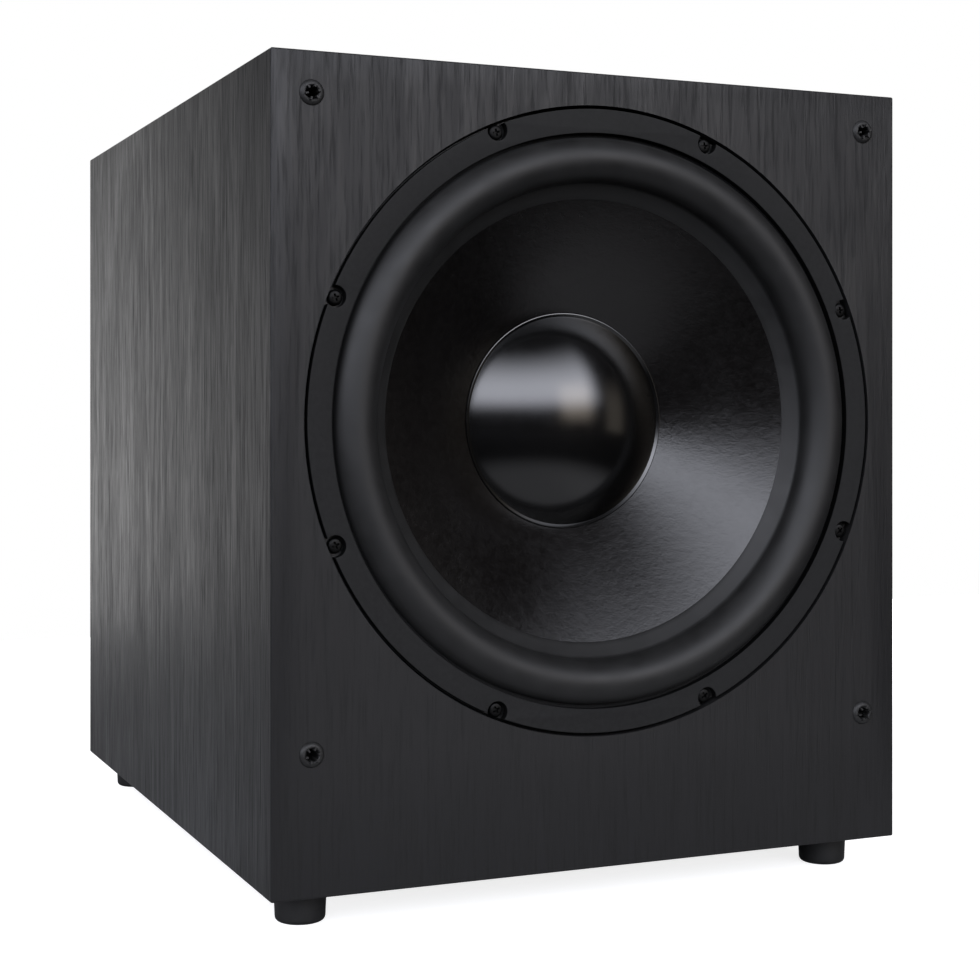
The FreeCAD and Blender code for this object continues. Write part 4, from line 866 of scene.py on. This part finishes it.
# ------------------------------------------------------------------ screws with a cross recess
def screw_heads(name, spots, y_seat, out, head_r, head_h, shank_r, length, mat, rec_r=1.95, rec_w=0.55, rec_d=1.5, spin=None):
    """Pan heads along Y: dome, cross recess with sloped ends, plain shank and point. Sizes mm, y_seat m."""
    made = []
    for i, (x, z) in enumerate(spots):
        e = 0.55
        prof = [(0.0, -head_h)] + [(head_r * 0.55, -head_h + 0.03)]
        rr = head_h * 0.62
        prof += arc(head_r - rr, -head_h + rr + 0.12, rr, -90 + 8, 0, 8)
        prof += [(head_r, 0.0), (shank_r, 0.0), (shank_r, length - 3.0), (0.0, length)]
        o = lathe("sc", prof, 48, mat, 0.0, 0.0, 0.0)
        # cross recess: two tapered bars
        bars = []
        for k in (0, 1):
            v = []
            for dy, rs, ws in ((-head_h - 0.3, rec_r * 1.08, rec_w), (-head_h + rec_d, rec_r * 0.45, rec_w * 0.7)):
                for sx, sz in ((-1, -1), (1, -1), (1, 1), (-1, 1)):
                    a, c = (rs * sx, ws * sz) if k == 0 else (ws * sx, rs * sz)
                    v.append((a * MM, dy * MM, c * MM))
            bo = obj_from("bar", v, [(0, 1, 2, 3), (7, 6, 5, 4), (0, 4, 5, 1), (1, 5, 6, 2), (2, 6, 7, 3), (3, 7, 4, 0)])
            fix_normals(bo)
            bars.append(bo)
        boolean(o, bars)
        ang = math.radians((spin or 37.0) * (i + 1) * 2.3)
        mt = Matrix.Rotation(ang, 4, "Y")
        if out > 0:
            mt = Matrix.Rotation(math.pi, 4, "Z") @ mt
        o.data.transform(Matrix.Translation((x, y_seat, z)) @ mt)
        made.append(o)
    o = join(made, name)
    fix_normals(o)
    smooth(o, 35.0)
    dress(o, mat)
    return o


scr = screw_heads("driver_screws_cross", [pol(SCREW_R, a) for a in SCREW_A], YF + 0.0048, -1, 3.9, 2.6, 1.9, 15.5, M["black_oxide"])
place(scr, "cabinet", "black_steel", "driver_screws")

# ------------------------------------------------------------------ surround
RC, RA = 132.0, 11.2
DC = RA - 5.99
TH = 1.0


def surround_profile():
    """Front skin from the glued outer rim over the half roll to the lip on the cone, then the back skin."""
    ao = math.degrees(math.asin((4.0 - DC) / RA))        # where the roll meets the outer rim, measured in the (r, -d) sense
    front = [(149.0, 4.0), (RC + RA * math.cos(math.radians(ao)) + 0.55, 4.0)]
    n = 56
    for i in range(n + 1):
        a = math.radians(-(-ao) - (180.0 + ao) * i / n)
        front.append((RC + RA * math.cos(a), DC + RA * math.sin(a)))
    # crease at the inner foot of the roll, then the lip lying along the cone
    rx = RC - RA
    lip = 1.15
    front += [(rx + 0.02, dcone(rx) - lip - 1.2), (rx - 0.35, dcone(rx - 0.35) - lip - 0.35), (rx - 1.1, dcone(rx - 1.1) - lip)]
    front += [(115.0, dcone(115.0) - 0.75), (113.9, dcone(113.9) - 0.40), (113.2, dcone(113.2) - 0.18), (113.0, dcone(113.0) - 0.02)]
    back = [(rx + 1.1, dcone(rx + 1.1) - 0.02)]
    ri = RA - TH
    ai = math.degrees(math.asin((4.8 - DC) / ri))
    for i in range(n + 1):
        a = math.radians(-180.0 + (180.0 + ai) * i / n)
        back.append((RC + ri * math.cos(a), DC + ri * math.sin(a)))
    back += [(149.0, 4.8)]
    return front + back


sur = lathe("surround_roll", surround_profile(), SEG, M["surround"], sharp=50.0)
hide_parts("surround")
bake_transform(sur)


# ------------------------------------------------------------------ cone
prof = []
N = 30
for i in range(N + 1):
    r = 122.2 + (26.9 - 122.2) * i / N
    prof.append((r, dcone(r)))
prof += [(25.85, dcone(25.85)), (25.85, 74.0), (26.9, 74.0)]
for i in range(N + 1):
    r = 26.9 + (122.2 - 26.9) * i / N
    prof.append((r, dcone(r) + 1.4))
cone = lathe("cone_pressed", prof, SEG, M["cone"], sharp=35.0)
place(cone, "cone_assembly", "cone_pulp", "cone")

# ------------------------------------------------------------------ dust cap
CAP_R, CAP_FL, CAP_S = 54.8, 56.5, 19.5
cb = dcone(CAP_R) - 0.8
RS = (CAP_R ** 2 + CAP_S ** 2) / (2 * CAP_S)
ctr = cb - CAP_S + RS
prof = [(CAP_FL, dcone(CAP_FL)), (CAP_FL, dcone(CAP_FL) - 0.55), (CAP_FL - 0.3, dcone(CAP_FL - 0.3) - 0.8), (CAP_R + 0.5, dcone(CAP_R + 0.5) - 0.8)]
th0 = math.asin(CAP_R / RS)
prof += [(CAP_R, cb)]
for i in range(1, 41):
    th = th0 * (1 - i / 40.0)
    r = RS * math.sin(th)
    prof.append((r if r > 1e-6 else 0.0, ctr - RS * math.cos(th)))
RSI = RS - 1.0
for i in range(0, 31):
    th = th0 * 0.93 * i / 30.0
    r = RSI * math.sin(th)
    prof.append((r if r > 1e-6 else 0.0, ctr - RSI * math.cos(th)))
prof.append((51.4, dcone(51.4)))
cap = lathe("dust_cap_dome", prof, SEG, M["dust_cap"], sharp=28.0)
place(cap, "cone_assembly", "dust_cap_gloss", "dust_cap")

# ------------------------------------------------------------------ spider, corrugated cloth turned about the axis
prof_f, prof_b = [(25.9, 74.1), (31.0, 74.1)], []
r0 = 31.0
for k in range(12):
    s = -1 if k % 2 == 0 else 1
    for i in range(1, 9):
        t = i / 8.0
        prof_f.append((r0 + 3.75 * t, 74.1 + s * 1.5 * math.sin(math.pi * t)))
    r0 += 3.75
prof_f.append((84.0, 74.1))
prof_b = [(r, d + 0.6) for r, d in reversed(prof_f)]
spi = lathe("spider_corrugated", prof_f + prof_b, 160, M["spider"], sharp=60.0)
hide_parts("spider")
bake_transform(spi)

# ------------------------------------------------------------------ flexible leads, copied from the CAD node's mesh
src = NODES["tinsel_leads"]
tin = bpy.data.objects.new("tinsel_leads_flexing", src.data.copy())
bpy.context.scene.collection.objects.link(tin)
dress(tin, M["braid"])
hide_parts("tinsel_leads")
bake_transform(tin)

# ------------------------------------------------------------------ reflex port
L0, L1 = 263.0, 423.0
prof = [(50.0, L1 - 1.2)] + arc(48.8, L1 - 1.2, 1.2, 0, 90, 5) + [(45.0, L1)]
prof += [(45.0 - 10.0 * math.sin(math.radians(9 * i)), L1 - 10.0 + 10.0 * math.cos(math.radians(9 * i))) for i in range(11)]
prof += [(35.0, L0 + 60.0)]
prof += [(45.0 - 10.0 * math.cos(math.radians(9 * i)), L0 + 10.0 - 10.0 * math.sin(math.radians(9 * i))) for i in range(11)]
prof += [(45.0, L0 + 2.5)] + [(45.0 - 7.5 * math.sin(math.radians(9 * i)), L0 + 10.0 - 7.5 * math.cos(math.radians(9 * i))) for i in range(11)]
prof += [(37.5, 420.0), (50.0, 420.0)]
port = lathe("reflex_port_flared", prof, 200, M["port"], 0.0, 0.351, sharp=40.0)
place(port, "cabinet", "black_plastic", "reflex_port_tube")

# ------------------------------------------------------------------ amplifier plate screws
PS = [(sx * 0.118, PLATE_CZ + sz * 0.113) for sx in (-1, 1) for sz in (-1, 1)]
PS += [(0.0, PLATE_CZ + 0.113), (0.0, PLATE_CZ - 0.113)]
PS += [(sx * 0.118, PLATE_CZ + sz * 0.038) for sx in (-1, 1) for sz in (-1, 1)]
scr2 = screw_heads("amp_screws_cross", PS, YP, 1, 3.9, 2.6, 1.9, 14.5, M["black_oxide"])
place(scr2, "cabinet", "black_steel", "amp_screws")

# ------------------------------------------------------------------ printed dial marks on the plate, no lettering
marks = []


def mark(cx, cz, ang, r0, r1, wd):
    a = math.radians(ang)
    ux, uz = math.sin(a), math.cos(a)
    px, pz = uz, -ux
    v = []
    for y in (YP - 0.00002, YP + 0.00005):
        for r, s in ((r0, -1), (r1, -1), (r1, 1), (r0, 1)):
            v.append((cx + (ux * r + px * wd * s) * MM, y, cz + (uz * r + pz * wd * s) * MM))
    marks.append(obj_from("m", v, [(0, 1, 2, 3), (7, 6, 5, 4), (0, 4, 5, 1), (1, 5, 6, 2), (2, 6, 7, 3), (3, 7, 4, 0)]))


for cx in (0.088, 0.045):
    for k in range(11):
        mark(cx, PLATE_CZ + 0.088, -150 + 30 * k, 10.4, 12.6 if k % 5 else 13.8, 0.22 if k % 5 else 0.38)
for cx, n in ((0.0, 2), (-0.035, 3)):
    for k in range(n):
        off = (k - (n - 1) / 2.0) * (4.0 if n == 2 else 2.0)
        mark(cx + off * MM, PLATE_CZ + 0.088, 0, 5.2, 7.4, 0.25)
marks = join(marks, "dial_marks_print")
fix_normals(marks)
dress(marks, M["print"])
place(marks, "cabinet", "amp_black")
